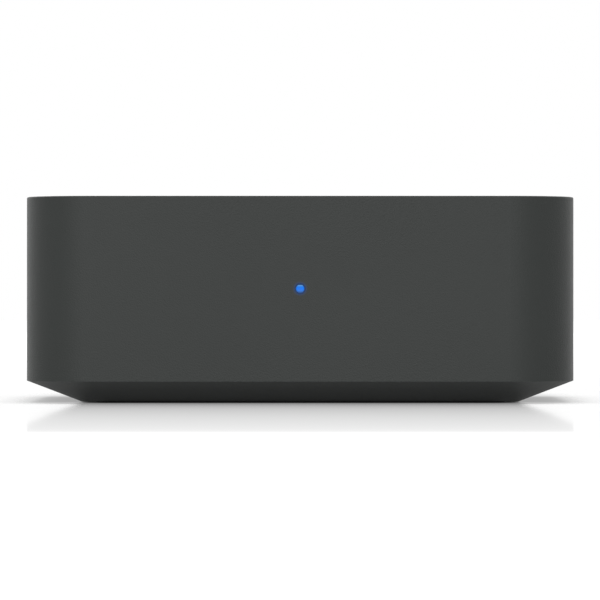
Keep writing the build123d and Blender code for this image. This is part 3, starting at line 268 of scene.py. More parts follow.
def tracks(spot, pitch, width, turn):
    """Parallel runs of track, 1 on the copper, cut into lengths by broad noise."""
    x, y, z = spot.parts()
    across, along = (x, y) if turn else (y, x)
    runs_in_block, unevenness = 9.0, 731.0
    block = x.math("SNAP", along, pitch * runs_in_block)
    shifted = across + x.math("SINE", block * unevenness) * pitch
    place = x.math("PINGPONG", shifted, pitch / 2)
    lengths = spot.grain(70.0 if turn else 55.0, detail=1.0)
    return (place < width / 2) * lengths.step(0.52, 0.54)


chip_nodes = ("converter_chip", "network_chip", "amplifier_chips", "regulator_chips")
leg_reach, pad_inset, pad_edge = 0.0008, 0.0001, 0.0002
outlined = [box for name in chip_nodes for box in lumps(name)]
pads, bodies = narrower(outlined, pad_inset), narrower(outlined, pad_inset + leg_reach)
for name in (
    "processor_chip", "memory_chip", "power_coils", "filter_capacitors", "crystal_cans",
):
    outlined += lumps(name)

print_start, print_end, via_gap, via_size = 0.00028, 0.00043, 0.0006, 0.11
mask, mask_on_copper = (0.010, 0.060, 0.026, 1.0), (0.022, 0.115, 0.045, 1.0)
white_ink, tin = (0.60, 0.61, 0.58, 1.0), (0.55, 0.54, 0.50, 1.0)
board_laminate, spot = begin("board_laminate")
copper = (
    tracks(spot, pitch=0.0011, width=0.0004, turn=True)
    + tracks(spot, pitch=0.0013, width=0.0004, turn=False)
).step(0.0, 1.0)
vias = (spot.cells(210.0) < via_size) * spot.grain(60.0, detail=1.0).step(0.5, 0.52)
around = outside(spot, outlined)
printed = (around > print_start) * (around < print_end)
landed = (outside(spot, pads) < pad_edge) * (outside(spot, bodies) > 0.0)
tinned = (vias * (around > via_gap) + landed).step(0.0, 1.0)
weave = spot.grain(2400.0, detail=1.0)
relief = copper * 0.8 + tinned * 0.5 + printed * 0.4 + weave * 0.15
surface(
    spot,
    Base_Color=tinned.between(
        printed.between(copper.between(mask, mask_on_copper), white_ink), tin
    ),
    Roughness=0.34 + 0.14 * weave - 0.06 * tinned,
    Metallic=tinned,
    Normal=spot.bump(relief, distance=0.00004),
)
dress(board_laminate, "main_board", "radio_module")

# Chips, switch bodies and sockets: black thermosetting or glass-filled resin,
# moulded in polished or sparked tools. The grain is finer than the case's, and
# broad faint flow marks run through it.


def moulded_resin(name, dark, light, roughness, gloss, grain_size, depth):
    """A moulded plastic with grain of that size in metres and faint flow marks."""
    coat, spot = begin(name)
    grain = spot.grain(1.0 / grain_size, detail=2.0, roughness=0.6)
    flow = spot.grain(160.0, detail=4.0, roughness=0.55)
    surface(
        spot,
        Base_Color=flow.mottle(grain, 0.4, dark, light),
        Roughness=roughness + 0.10 * grain - 0.04 * flow,
        Specular_IOR_Level=gloss,
        Normal=spot.bump(grain * 0.8 + flow * 0.2, depth, strength=0.6),
    )
    return coat


chip_resin = moulded_resin(
    "chip_resin", dark=(0.018, 0.018, 0.020, 1), light=(0.030, 0.030, 0.033, 1),
    roughness=0.42, gloss=0.4, grain_size=0.00016, depth=0.000015,
)
dress(chip_resin, "processor_chip", "memory_chip")
jack_resin = moulded_resin(
    "jack_resin", dark=(0.012, 0.012, 0.013, 1), light=(0.020, 0.020, 0.021, 1),
    roughness=0.34, gloss=0.45, grain_size=0.00022, depth=0.00001,
)
dress(
    jack_resin, "connect_switch_body", "reset_switch_body", "power_inlet", "network_core",
    "optical_housing", "optical_emitter", "aux_housing", "line_housing",
)
shutter_resin = moulded_resin(
    "shutter_resin", dark=(0.030, 0.030, 0.032, 1), light=(0.042, 0.042, 0.044, 1),
    roughness=0.30, gloss=0.5, grain_size=0.0003, depth=0.000006,
)
dress(shutter_resin, "optical_shutter", "connect_switch_plunger", "reset_switch_plunger")

# Legged chips: a resin body with sloping sides and a dimple by its first leg,
# moulded round legs that were stamped from tinned copper sheet and bent down to
# the board.


def metal(name, dark, light, roughness, streak, depth, along=(1.0, 1.0, 1.0)):
    """Plated or bare metal: cloudy tarnish, and fine marks stretched by along."""
    coat, spot = begin(name)
    marks = spot.stretched(along).grain(2600.0, detail=3.0, roughness=0.7)
    cloud = spot.grain(240.0, detail=4.0, roughness=0.6)
    surface(
        spot,
        Base_Color=cloud.mottle(marks, 0.3, dark, light),
        Metallic=1.0,
        Roughness=roughness + streak * (marks - 0.5) + 0.06 * cloud,
        Normal=spot.bump(marks, depth, strength=0.5),
    )
    return coat


tin_sheet = metal(
    "tin_sheet", dark=(0.56, 0.56, 0.54, 1), light=(0.70, 0.70, 0.68, 1),
    roughness=0.28, streak=0.16, depth=0.000008, along=(0.05, 1, 1),
)
dress(tin_sheet, "shield_frame", "shield_lid", "radio_can", "crystal_cans")
tinned_copper = metal(
    "tinned_copper", dark=(0.60, 0.59, 0.57, 1), light=(0.74, 0.73, 0.71, 1),
    roughness=0.24, streak=0.14, depth=0.000004,
)


def pick(piece, test):
    """In edit mode, selects the points that test accepts and what lies between them."""
    mesh = bmesh.from_edit_mesh(piece.data)
    for point in mesh.verts:
        point.select = test(point.co)
    mesh.select_flush(False)
    mesh.select_flush(True)
    bmesh.update_edit_mesh(piece.data)


def only(piece):
    """Leaves edit mode and selects one piece, or none."""
    if bpy.context.mode != "OBJECT":
        bpy.ops.object.mode_set(mode="OBJECT")
    bpy.ops.object.select_all(action="DESELECT")
    if piece:
        piece.select_set(True)
        bpy.context.view_layer.objects.active = piece


def start(kind, name, spans, place, **values):
    """A new primitive of that size about that place, left in edit mode."""
    only(None)
    unit = {"radius": 1.0, "depth": 1.0} if kind == "cylinder" else {"size": 1.0}
    add = getattr(bpy.ops.mesh, f"primitive_{kind}_add")
    add(location=(0, 0, 0), **{**unit, **values})
    piece = bpy.context.object
    piece.name = name
    bpy.ops.object.mode_set(mode="EDIT")
    bpy.ops.mesh.select_mode(type="VERT")
    bpy.ops.transform.resize(value=spans)
    bpy.ops.transform.translate(value=place)
    return piece


def pull(step):
    """Extrudes the selected faces by a step."""
    bpy.ops.mesh.extrude_region_move(TRANSFORM_OT_translate={"value": step})


def round_off(size):
    """Rounds all edges of the piece in edit mode by that size."""
    bpy.ops.mesh.select_all(action="SELECT")
    bpy.ops.mesh.bevel(offset=size, segments=2, affect="EDGES")


def modify(piece, kind, **settings):
    """Gives a piece a modifier with those settings, and applies it."""
    only(piece)
    modifier = piece.modifiers.new("shape", kind)
    for name, value in settings.items():
        setattr(modifier, name, value)
    bpy.ops.object.modifier_apply(modifier=modifier.name)


def cut(piece, cutter):
    """Takes the cutter's shape out of a piece and throws the cutter away."""
    modify(piece, "BOOLEAN", object=cutter, operation="DIFFERENCE", solver="EXACT")
    bpy.data.objects.remove(cutter)


def copied(piece):
    """A copy of a piece with a mesh of its own, all selected in edit mode."""
    only(piece)
    bpy.ops.object.duplicate()
    bpy.ops.object.mode_set(mode="EDIT")
    bpy.ops.mesh.select_all(action="SELECT")
    return bpy.context.object


def join(first, *others):
    """Makes one piece of several, under the first one's name."""
    only(first)
    for piece in others:
        piece.select_set(True)
    bpy.ops.object.join()


def finish(piece, body, slot, *coats, angle=30):
    """Ends a piece with its finishes, and lets it ride on a body if one is named. Its slot is not
    used.
    """
    only(piece)
    bpy.ops.object.shade_smooth_by_angle(angle=radians(angle))
    piece.data.materials.clear()
    for coat in coats:
        piece.data.materials.append(coat)
    if body:
        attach(piece, body)


near = 0.00001               # how close a point counts as being at a place
board_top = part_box("converter_chip")[0].z
fine_pitch, wide_pitch = 0.00065, 0.00127
body_lift, waist_share, top_share, bottom_share, body_round = 0.0001, 0.55, 0.955, 0.97, 0.00005
dimple_radius, dimple_depth, dimple_inset = 0.0003, 0.0002, 0.0007
leg_bite, leg_end_gap, leg_share, leg_thick = 0.0002, 0.0005, 0.42, 0.00013
shoulder, bend, bend_drop, shin, ankle = 0.00022, 0.00012, 0.00006, 0.00008, 0.00010
for name in chip_nodes:
    pitch = fine_pitch if name in ("converter_chip", "network_chip") else wide_pitch
    for number, (low, high) in enumerate(lumps(name)):
        middle = (low + high) / 2
        width, depth = high.x - low.x - 2 * leg_reach, high.y - low.y
        height = high.z - board_top
        waist = board_top + body_lift + (height - body_lift) * waist_share
        resin = start(
            "cube", f"{name}_body_{number}", (width, depth, height - body_lift),
            (middle.x, middle.y, board_top + (height + body_lift) / 2),
        )
        bpy.ops.mesh.bisect(plane_co=(0, 0, waist), plane_no=(0, 0, 1))
        for level, share in ((high.z, top_share), (board_top + body_lift, bottom_share)):
            pick(resin, lambda point: abs(point.z - level) < near)
            bpy.ops.transform.resize(
                value=(share, share, 1.0), center_override=(middle.x, middle.y, level)
            )
        round_off(body_round)
        dimple = start(
            "cylinder", "dimple", (dimple_radius, dimple_radius, dimple_depth),
            (
                middle.x - width / 2 + dimple_inset, middle.y + depth / 2 - dimple_inset,
                high.z,
            ),
            vertices=20,
        )
        cut(resin, dimple)
        finish(resin, "case", "chip_resin", chip_resin, angle=12)

        legs = 1 + int((depth - 2 * leg_end_gap) / pitch + 0.000001)
        edge = middle.x + width / 2
        leg = start(
            "cube", f"{name}_legs_{number}", (leg_bite, pitch * leg_share, leg_thick),
            (edge - leg_bite / 2, middle.y - (legs - 1) * pitch / 2, waist),
        )
        pick(leg, lambda point: point.x > edge - near)
        pull((shoulder, 0, 0))
        pull((bend, 0, -bend_drop))
        pull((shin, 0, board_top + leg_thick - waist + bend_drop))
        pull((ankle, 0, -leg_thick / 2))
        pull((leg_reach - (shoulder + bend + shin + ankle), 0, 0))
        bpy.ops.mesh.select_all(action="SELECT")
        bpy.ops.mesh.normals_make_consistent(inside=False)
        modify(
            leg, "ARRAY", count=legs, use_relative_offset=False, use_constant_offset=True,
            constant_offset_displace=(0, pitch, 0),
        )
        other_side = copied(leg)
        bpy.ops.transform.mirror(
            constraint_axis=(True, False, False), center_override=(middle.x, middle.y, waist)
        )
        bpy.ops.mesh.normals_make_consistent(inside=False)
        join(leg, other_side)
        finish(leg, "case", "tin_sheet", tinned_copper, angle=12)
        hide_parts(name)
        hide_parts(name)

# Small parts on the board: ceramic chips whose ends are capped with tin and sit
# in fillets of solder.
brown_clay, grey_clay = (0.26, 0.19, 0.12, 1.0), (0.16, 0.13, 0.11, 1.0)
pale_speck = (0.50, 0.42, 0.32, 1.0)
small_part_ceramic, spot = begin("small_part_ceramic")
speckle = spot.grain(5200.0, detail=3.0)
batch = spot.cells(420.0, "Color").parts()[0]
surface(
    spot,
    Base_Color=speckle.step(0.62, 0.70).between(
        batch.between(brown_clay, grey_clay), pale_speck
    ),
    Roughness=0.45 + 0.2 * speckle,
    Normal=spot.bump(speckle, distance=0.00001),
)
solder = metal(
    "solder", dark=(0.62, 0.62, 0.60, 1), light=(0.78, 0.78, 0.76, 1),
    roughness=0.20, streak=0.10, depth=0.000006,
)
cap_share, cap_lip, part_round = 0.22, 0.00004, 0.00003
waist_depth_share, waist_height_share = 0.90, 0.88
fillet_height, fillet_reach = 0.00012, 0.00016
places = [(low + high) / 2 for low, high in lumps("small_parts")]
first = places[0]
low, high = lumps("small_parts")[0]
length = high.x - low.x
cap = length * cap_share
capped = start("cube", "small_parts_capped", high - low, first)
for side in (-1, 1):
    for depth in (cap, cap + cap_lip):
        bpy.ops.mesh.select_all(action="SELECT")
        bpy.ops.mesh.bisect(
            plane_co=(first.x + side * (length / 2 - depth), 0, 0), plane_no=(1, 0, 0)
        )
pick(capped, lambda point: abs(point.x - first.x) < length / 2 - cap - cap_lip / 2)
bpy.ops.transform.resize(
    value=(1.0, waist_depth_share, waist_height_share), center_override=first
)
round_off(part_round)
for side in (-1, 1):
    pick(capped, lambda point: (point.x - first.x) * side > length / 2 - near
         and point.z < low.z + fillet_height)
    bpy.ops.transform.translate(value=(side * fillet_reach, 0, 0))
others = []
for place in places[1:]:
    others.append(copied(capped))
    bpy.ops.transform.translate(value=place - first)
join(capped, *others)
finish(capped, "case", "small_part_ceramic", small_part_ceramic, solder, angle=12)
for face in capped.data.polygons:
    nearest = min(places, key=lambda place: (face.center - place).length)
    face.material_index = int(abs(face.center.x - nearest.x) > length / 2 - cap - near)
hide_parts("small_parts")

# Coils, lamp and putty: ferrite blocks, a moulded lamp, and the soft grey putty
# that carries the processor's heat to its screening lid.
coil_ferrite = moulded_resin(
    "coil_ferrite", dark=(0.070, 0.070, 0.074, 1), light=(0.115, 0.115, 0.120, 1),
    roughness=0.55, gloss=0.35, grain_size=0.00012, depth=0.00003,
)
dress(coil_ferrite, "power_coils")
lamp_body = moulded_resin(
    "lamp_body", dark=(0.80, 0.80, 0.74, 1), light=(0.88, 0.88, 0.83, 1),
    roughness=0.30, gloss=0.5, grain_size=0.0002, depth=0.000005,
)
dress(lamp_body, "status_lamp")
thermal_putty = moulded_resin(
    "thermal_putty", dark=(0.36, 0.38, 0.44, 1), light=(0.46, 0.48, 0.54, 1),
    roughness=0.72, gloss=0.3, grain_size=0.0005, depth=0.00005,
)
dress(thermal_putty, "thermal_pad")

# Capacitors: drawn aluminium cans, crimped near the foot over a rubber plug,
# with a dark printed mark on top, on black moulded feet.


def turned(name, middle, axis, outline, steps):
    """Draws an outline of (radius, place along the axis) and spins it into a solid."""
    piece = start("plane", name, (1, 1, 1), (0, 0, 0), size=0.0001)
    bpy.ops.mesh.merge(type="CENTER")
    here = Vector((0, 0, 0))
    for number, (radius, along) in enumerate(outline):
        there = Vector((middle[0] + radius, along, middle[2]))
        if axis == "Z":
            there = Vector((middle[0] + radius, middle[1], along))
        if number:
            pull(there - here)
        else:
            bpy.ops.transform.translate(value=there)
        here = there
    bpy.ops.mesh.select_all(action="SELECT")
    if outline[0][0] > 0:
        mesh = bmesh.from_edit_mesh(piece.data)
        for point in mesh.verts:
            point.select = len(point.link_edges) == 1
        bmesh.update_edit_mesh(piece.data)
        bpy.ops.mesh.edge_face_add()
        bpy.ops.mesh.select_all(action="SELECT")
    bpy.ops.mesh.spin(
        steps=steps, angle=2 * pi, center=middle, use_auto_merge=False,
        axis=(0, 1, 0) if axis == "Y" else (0, 0, 1),
    )
    bpy.ops.mesh.select_all(action="SELECT")
    bpy.ops.mesh.remove_doubles(threshold=0.000002)
    bpy.ops.mesh.normals_make_consistent(inside=False)
    return piece


foot_height, foot_corner, foot_round = 0.0010, 0.0012, 0.0001
can_gap, can_round, plug_depth, rolled = 0.00005, 0.0004, 0.0002, 0.0003
crimp, crimp_rise, crimp_flank, crimp_half, flank_share = 0.0003, 0.0017, 0.0003, 0.0005, 0.6
corner_share = 0.3           # how far an arc's middle lies in from the corner it rounds
dish, dish_edge, dish_floor = 0.00006, 0.8, 0.76
mark_start, mark_depth = 0.0019, 0.00012
capacitor_boxes = lumps("filter_capacitors")

can_aluminium, spot = begin("can_aluminium")
x, y, z = spot.parts()
marks = spot.stretched((1, 1, 0.05)).grain(2600.0, detail=3.0, roughness=0.7)
mark = None
for low, high in capacitor_boxes:
    edge = (x > (low.x + high.x) / 2 + mark_start) * (x < high.x)
    mark = edge if mark is None else edge + mark
mark = mark.step(0.0, 1.0) * (z > capacitor_boxes[0][1].z - mark_depth)
dull_metal, bright_metal = (0.70, 0.70, 0.71, 1.0), (0.82, 0.82, 0.83, 1.0)
black_ink = (0.015, 0.015, 0.017, 1.0)
surface(
    spot,
    Base_Color=mark.between(marks.between(dull_metal, bright_metal), black_ink),
    Metallic=1.0 - mark,
    Roughness=0.26 + 0.12 * marks + 0.2 * mark,
    Normal=spot.bump(marks, distance=0.000006, strength=0.5),
)

for number, (low, high) in enumerate(capacitor_boxes):
    middle = (low + high) / 2
    radius = (high.x - low.x) / 2 - can_gap
    foot = low.z + foot_height
    squeeze, corner = foot + crimp_rise, can_round * corner_share
    flank = radius - crimp * flank_share
    can = turned(f"capacitor_can_{number}", middle, "Z", (
        (0, foot - plug_depth), (radius - rolled, foot - plug_depth),
        (radius - rolled / 3, foot), (radius, foot + rolled),
        (radius, squeeze - crimp_half), (flank, squeeze - crimp_flank),
        (radius - crimp, squeeze),
        (flank, squeeze + crimp_flank), (radius, squeeze + crimp_half),
        (radius, high.z - can_round), (radius - corner, high.z - corner),
        (radius - can_round, high.z), (radius * dish_edge, high.z),
        (radius * dish_floor, high.z - dish), (0, high.z - dish),
    ), 48)
    finish(can, "case", "can_aluminium", can_aluminium)
    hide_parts("filter_capacitors")
    base = start(
        "cube", f"capacitor_foot_{number}", (high.x - low.x, high.y - low.y, foot_height),
        (middle.x, middle.y, low.z + foot_height / 2),
    )
    for side in (-1, 1):
        pick(base, lambda point: point.x > middle.x and (point.y - middle.y) * side > 0)
        bpy.ops.mesh.bevel(offset=foot_corner, segments=1, affect="EDGES")
    round_off(foot_round)
    finish(base, "case", "chip_resin", chip_resin, angle=12)
    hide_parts("filter_capacitors")

# Switches: each resin body is closed by a plate stamped from tinned steel. Two of
# its tabs fold over the body's sides, and four melted resin stakes hold it.
cover_sheet, cover_side, cover_end, cover_round = 0.00015, 0.00010, 0.00015, 0.00003
tab_half, tab_length, plunger_gap = 0.0009, 0.0013, 0.00015
stake_side, stake_end, stake_root = 0.00065, 0.0009, 0.00005
stake_outline = (
    (0.00034, 0.00003), (0.00026, 0.00012), (0.00012, 0.00016), (0, 0.00017),
)
across = Vector((1, 0, 0))
for switch, out, along in (
    ("connect_switch", Vector((0, 1, 0)), Vector((0, 0, 1))),
    ("reset_switch", Vector((0, 0, -1)), Vector((0, 1, 0))),
):
    low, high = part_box(f"{switch}_body")
    middle, half = (low + high) / 2, (high - low) / 2
    flat = Vector(map(abs, out))
    face = middle + out * half.dot(flat)
    reach, length = half.x, half.dot(along)
    plate = 2 * (reach - cover_side) * across + 2 * (length - 2 * cover_end) * along
    cover = start(
        "cube", f"{switch}_cover", plate + cover_sheet * flat, face + out * cover_sheet / 2
    )
    for side in (-1, 1):
        bpy.ops.mesh.select_all(action="SELECT")
        bpy.ops.mesh.bisect(plane_co=face + side * tab_half * along, plane_no=along)
    for side in (-1, 1):
        pick(cover, lambda point: side * (point.x - face.x) > reach - cover_side - near
             and abs((point - face).dot(along)) < tab_half + near)
        pull((side * cover_side, 0, 0))
        pull((side * cover_sheet, 0, 0))
        pick(cover, lambda point: side * (point.x - face.x) > reach - near
             and (point - face).dot(out) < near)
        pull(-tab_length * out)
    modify(cover, "BEVEL", width=cover_round, segments=2)
    plunger_low, plunger_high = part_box(f"{switch}_plunger")
    plunger_middle = (plunger_low + plunger_high) / 2
    hole_radius = (plunger_high.x - plunger_low.x) / 2 + plunger_gap
    hole_place = plunger_middle + out * (face - plunger_middle).dot(out)
    hole = start(
        "cylinder", "hole", hole_radius * (across + along) + 4 * cover_sheet * flat,
        hole_place, vertices=48, rotation=out.to_track_quat("Z", "Y").to_euler(),
    )
    cut(cover, hole)
    finish(cover, "case", "tin_sheet", tin_sheet)

    stakes, grow = [], out.dot(flat)
    for aside, ahead in ((-1, -1), (-1, 1), (1, -1), (1, 1)):
        place = face + aside * (reach - stake_side) * across
        place += ahead * (length - stake_end) * along
        seat = (place + out * cover_sheet).dot(flat)
        root = seat - grow * stake_root
        head = [(radius, seat + grow * rise) for radius, rise in stake_outline]
        stakes.append(turned(
            f"{switch}_stakes", place, "Y" if out.y else "Z",
            [(0, root), (stake_outline[0][0], root), *head], 20,
        ))
    join(*stakes)
    finish(stakes[0], "case", "jack_resin", jack_resin)

# Aerials and their leads: copper strip behind amber polyimide film on foam tape,
# fed by thin black coaxial leads that end in gold-flashed push-on plugs.
pale_amber, deep_amber = (0.55, 0.31, 0.08, 1.0), (0.42, 0.22, 0.05, 1.0)
film_on_copper, meander, strip_width = (0.62, 0.36, 0.16, 1.0), 0.003, 0.0016
aerial_strip, spot = begin("aerial_strip")
x, y, z = spot.parts()
inlay = (y.math("PINGPONG", y, meander) < strip_width)
inlay = inlay * spot.grain(900.0, detail=1.0).step(0.15, 0.2)
film = spot.grain(700.0, detail=3.0)
surface(
    spot,
    Base_Color=inlay.between(film.between(deep_amber, pale_amber), film_on_copper),
    Roughness=0.25 + 0.15 * film,
    Normal=spot.bump(inlay * 0.8 + film * 0.2, distance=0.00003),
)
dress(aerial_strip, "aerial_left", "aerial_right")
cable_sheath = moulded_resin(
    "cable_sheath", dark=(0.020, 0.020, 0.021, 1), light=(0.034, 0.034, 0.036, 1),
    roughness=0.38, gloss=0.4, grain_size=0.0004, depth=0.00001,
)
dress(cable_sheath, "aerial_lead_left", "aerial_lead_right")
contact_gold = metal(
    "contact_gold", dark=(0.78, 0.56, 0.22, 1), light=(0.88, 0.68, 0.32, 1),
    roughness=0.22, streak=0.12, depth=0.000004, along=(1, 0.1, 1),
)
dress(contact_gold, "aerial_plugs", "network_contacts", "aux_contacts")

# Power inlet and network socket: nickel-plated pin and leaf, and a screen folded
# from nickel-plated sheet. The two windows in the network socket's face are
# clear plastic, tinted green and amber.
jack_nickel = metal(
    "jack_nickel", dark=(0.60, 0.57, 0.52, 1), light=(0.74, 0.71, 0.66, 1),
    roughness=0.16, streak=0.10, depth=0.000005, along=(1, 0.08, 1),
)
dress(jack_nickel, "power_pin", "power_leaf", "network_screen", "line_barrels", "aux_nut")


def clear_window(name, tint):
    """Tinted clear plastic whose back face was left with a fine prism grain."""
    coat, spot = begin(name)
    haze, deeper = spot.grain(900.0), 0.7
    deep = tuple(deeper * value for value in tint[:3]) + (1.0,)
    surface(
        spot,
        Base_Color=haze.between(tint, deep),
        Roughness=0.10 + 0.12 * haze,
        Transmission_Weight=0.55,
        IOR=1.49,
        Normal=spot.bump(spot.cells(2600.0), distance=0.00002, strength=0.5),
    )
    return coat


dress(clear_window("window_green", (0.22, 0.62, 0.28, 1.0)), "link_indicator")
dress(clear_window("window_amber", (0.80, 0.48, 0.12, 1.0)), "traffic_indicator")

# Optical output: the shutter turns on a drawn steel pin and is pushed shut by a
# leaf that was punched from rolled spring steel.
spring_steel = metal(
    "spring_steel", dark=(0.40, 0.39, 0.37, 1), light=(0.54, 0.53, 0.51, 1),
    roughness=0.26, streak=0.18, depth=0.000006, along=(0.06, 1, 1),
)
dress(spring_steel, "shutter_pin")

low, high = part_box("shutter_spring")
hinge = next(Vector(j["pos_m"]) for j in frame["joints"] if j["name"] == "shutter_swing")
sheet, seat_length, bend_start = 0.00015, 0.0030, 0.0040
tip_length, tip_drop, tip_corner = 0.0016, 0.0009, 0.0005
ease_length, ease_drops = 0.0003, (0.00003, 0.00010)
slope_steps, tip_steps = 16, 6
seat_level, seat_end = high.z - sheet / 2, low.y + sheet / 2 + seat_length
tip_level, tip_end = low.z + sheet / 2, high.y - sheet / 2
leaf = start(
    "plane", "shutter_leaf", (high.x - low.x, seat_length, 1),
    ((low.x + high.x) / 2, seat_end - seat_length / 2, seat_level),
)
pick(leaf, lambda point: point.y > seat_end - near)
run = tip_end - tip_length - seat_end - len(ease_drops) * ease_length
drop = seat_level - tip_level - tip_drop - sum(ease_drops)
slope = [(ease_length, ease_drop) for ease_drop in ease_drops]
slope += [(run / slope_steps, drop / slope_steps)] * slope_steps
slope += [(tip_length / tip_steps, tip_drop / tip_steps)] * tip_steps
for forward, down in slope:
    pull((0, forward, -down))
pick(leaf, lambda point: point.y > tip_end - near)
bpy.ops.mesh.bevel(offset=tip_corner, segments=4, affect="VERTICES")
modify(leaf, "SOLIDIFY", thickness=sheet, offset=0.0, use_even_offset=True)
finish(leaf, None, "spring_steel", spring_steel)
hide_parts("shutter_spring")
hinge - Vector((0, bend_start, 0))
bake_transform(leaf)

# Socket for a 3.5 mm plug: a bushing turned from brass and plated with nickel,
# whose outside is threaded for the nut that clamps it to the plate.
low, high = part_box("aux_bushing")
outer, bore = (high.x - low.x) / 2, 0.0018
thread_pitch, thread_depth, thread_count, thread_start = 0.0004, 0.00022, 10, 0.00030
outer_chamfer, bore_chamfer = 0.0002, 0.00025
outline = [(outer - outer_chamfer, high.y), (outer, high.y - outer_chamfer)]
for turn in range(thread_count):
    crest = high.y - thread_start - turn * thread_pitch
    outline += [(outer, crest), (outer - thread_depth, crest - thread_pitch / 2)]
outline += [
    (outer, high.y - thread_start - thread_count * thread_pitch), (outer, low.y),
    (bore, low.y), (bore, high.y - bore_chamfer), (bore + bore_chamfer, high.y),
]
bushing = turned("threaded_bushing", (low + high) / 2, "Y", outline, 64)
finish(bushing, "case", "jack_nickel", jack_nickel)
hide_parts("aux_bushing")

# Line outputs: coloured insulators, nickel-plated barrels, and in each a contact
# rolled from plated bronze, slit four times so that it grips the plug's pin.
ring_white = moulded_resin(
    "ring_white", dark=(0.74, 0.74, 0.71, 1), light=(0.82, 0.82, 0.79, 1),
    roughness=0.30, gloss=0.5, grain_size=0.0004, depth=0.000006,
)
dress(ring_white, "line_insulator_left")
ring_red = moulded_resin(
    "ring_red", dark=(0.50, 0.016, 0.016, 1), light=(0.62, 0.030, 0.026, 1),
    roughness=0.30, gloss=0.5, grain_size=0.0004, depth=0.000006,
)
dress(ring_red, "line_insulator_right")

low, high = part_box("line_contacts")
contact_wall, slit_width, slit_length = 0.00035, 0.0004, 0.0065
mouth, outer_lip, inner_lip = 0.0002, 0.00015, 0.00012
lip_middle, lip_fall = 0.00008, 0.00005
radius = (high.z - low.z) / 2
bore = radius - contact_wall
for side, place in (("left", high.x - radius), ("right", low.x + radius)):
    middle = Vector((place, 0, (low.z + high.z) / 2))
    contact = turned(f"line_contact_{side}", middle, "Y", (
        (bore, low.y), (radius, low.y), (radius, high.y - mouth),
        (radius - lip_middle, high.y - lip_fall), (radius - outer_lip, high.y),
        (bore + inner_lip, high.y), (bore, high.y - mouth),
    ), 48)
    for across_size, up_size in ((3 * radius, slit_width), (slit_width, 3 * radius)):
        slit = start(
            "cube", "slit", (across_size, 2 * slit_length, up_size),
            (middle.x, high.y, middle.z),
        )
        cut(contact, slit)
    finish(contact, "case", "jack_nickel", jack_nickel)
    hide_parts("line_contacts")

# Connector plate: black plastic with a fine texture, its two screws blackened,
# and the letters of the left and right sockets printed in pale ink. The button
# that stands through it is a smoother, slightly paler plastic.
panel_plastic = moulded_resin(
    "panel_plastic", dark=(0.024, 0.024, 0.025, 1), light=(0.034, 0.034, 0.035, 1),
    roughness=0.52, gloss=0.35, grain_size=0.00025, depth=0.00003,
)
dress(panel_plastic, "rear_panel")
screw_steel = metal(
    "screw_steel", dark=(0.060, 0.060, 0.064, 1), light=(0.115, 0.115, 0.120, 1),
    roughness=0.34, streak=0.14, depth=0.000008,
)
dress(screw_steel, "panel_screws")
button_plastic = moulded_resin(
    "button_plastic", dark=(0.038, 0.039, 0.041, 1), light=(0.050, 0.051, 0.053, 1),
    roughness=0.44, gloss=0.4, grain_size=0.0002, depth=0.00001,
)
dress(button_plastic, "connect_button")
pale_ink = moulded_resin(
    "pale_ink", dark=(0.56, 0.56, 0.55, 1), light=(0.66, 0.66, 0.64, 1),
    roughness=0.55, gloss=0.3, grain_size=0.00012, depth=0.000004,
)
letter_size, letter_gap, ink = 0.0026, 0.0012, 0.00001
plate_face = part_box("rear_panel")[1].y
for letter, node in (("L", "line_insulator_left"), ("R", "line_insulator_right")):
    low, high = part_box(node)
    only(None)
    bpy.ops.object.text_add(location=(0, 0, 0))
    printed = bpy.context.object
    printed.name = f"letter_{letter}"
    printed.data.body = letter
    printed.data.size = letter_size
    printed.data.extrude = ink
    printed.data.align_x = "CENTER"
    bpy.ops.object.convert(target="MESH")
    bpy.ops.object.mode_set(mode="EDIT")
    bpy.ops.mesh.select_all(action="SELECT")
    bpy.ops.mesh.remove_doubles(threshold=0.000001)
    bpy.ops.object.mode_set(mode="OBJECT")
    printed.rotation_euler = (pi / 2, 0, pi)
    printed.location = ((low.x + high.x) / 2, plate_face + ink, high.z + letter_gap)
    bpy.ops.object.transform_apply(location=True, rotation=True, scale=True)
    printed.data.materials.append(pale_ink)
    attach(printed, "case")

# Light guide: clear acrylic, moulded in one piece and staked to the cover. The
# blue of the lamp under it is painted on as a glow, faint in the guide and strong
# in its domed tip at the front, with a painted highlight near the tip's top and
# painted shade at its top edge.
tip_length = 0.0012
clear_acrylic, tip_shade = (0.62, 0.68, 0.74, 1.0), (0.004, 0.010, 0.024, 1.0)
# Painted glow of the guide behind the front.
painted_faint_glow = (0.004, 0.04, 0.18, 1.0)
light_guide, spot = begin("light_guide")
x, y, z = spot.parts()
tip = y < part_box("light_guide")[0].y + tip_length
height = (z - lamp_level) * (0.5 / lamp_radius) + 0.5
# Painted glow of the tip, with a painted highlight near its top and painted shade at its top
# edge.
painted_tip_glow = spot.make(
    "ValToRGB",
    {"stops": [
        (0.02, (0.040, 0.11, 0.30)), (0.25, (0.030, 0.18, 0.68)),
        (0.50, (0.002, 0.18, 0.88)), (0.78, (0.006, 0.18, 0.72)),
        (0.87, (0.110, 0.36, 0.80)), (0.93, (0.080, 0.28, 0.62)),
        (0.98, (0.0, 0.035, 0.11)),
    ]},
    Fac=height,
)
haze = spot.grain(1500.0)
surface(
    spot,
    Base_Color=tip.between(clear_acrylic, tip_shade),
    Roughness=0.14 + 0.10 * haze,
    Specular_IOR_Level=0.1,
    Emission_Color=tip.between(painted_faint_glow, painted_tip_glow),
    Emission_Strength=1.0,
    Normal=spot.bump(haze, distance=0.000004, strength=0.4),
)
dress(light_guide, "light_guide")

# Case and board screws: steel, zinc plated, with the marks of the driver in
# their cross recesses.
bright_steel = metal(
    "bright_steel", dark=(0.52, 0.52, 0.50, 1), light=(0.66, 0.66, 0.64, 1),
    roughness=0.26, streak=0.14, depth=0.000008,
)
dress(bright_steel, "case_screws", "board_screws")

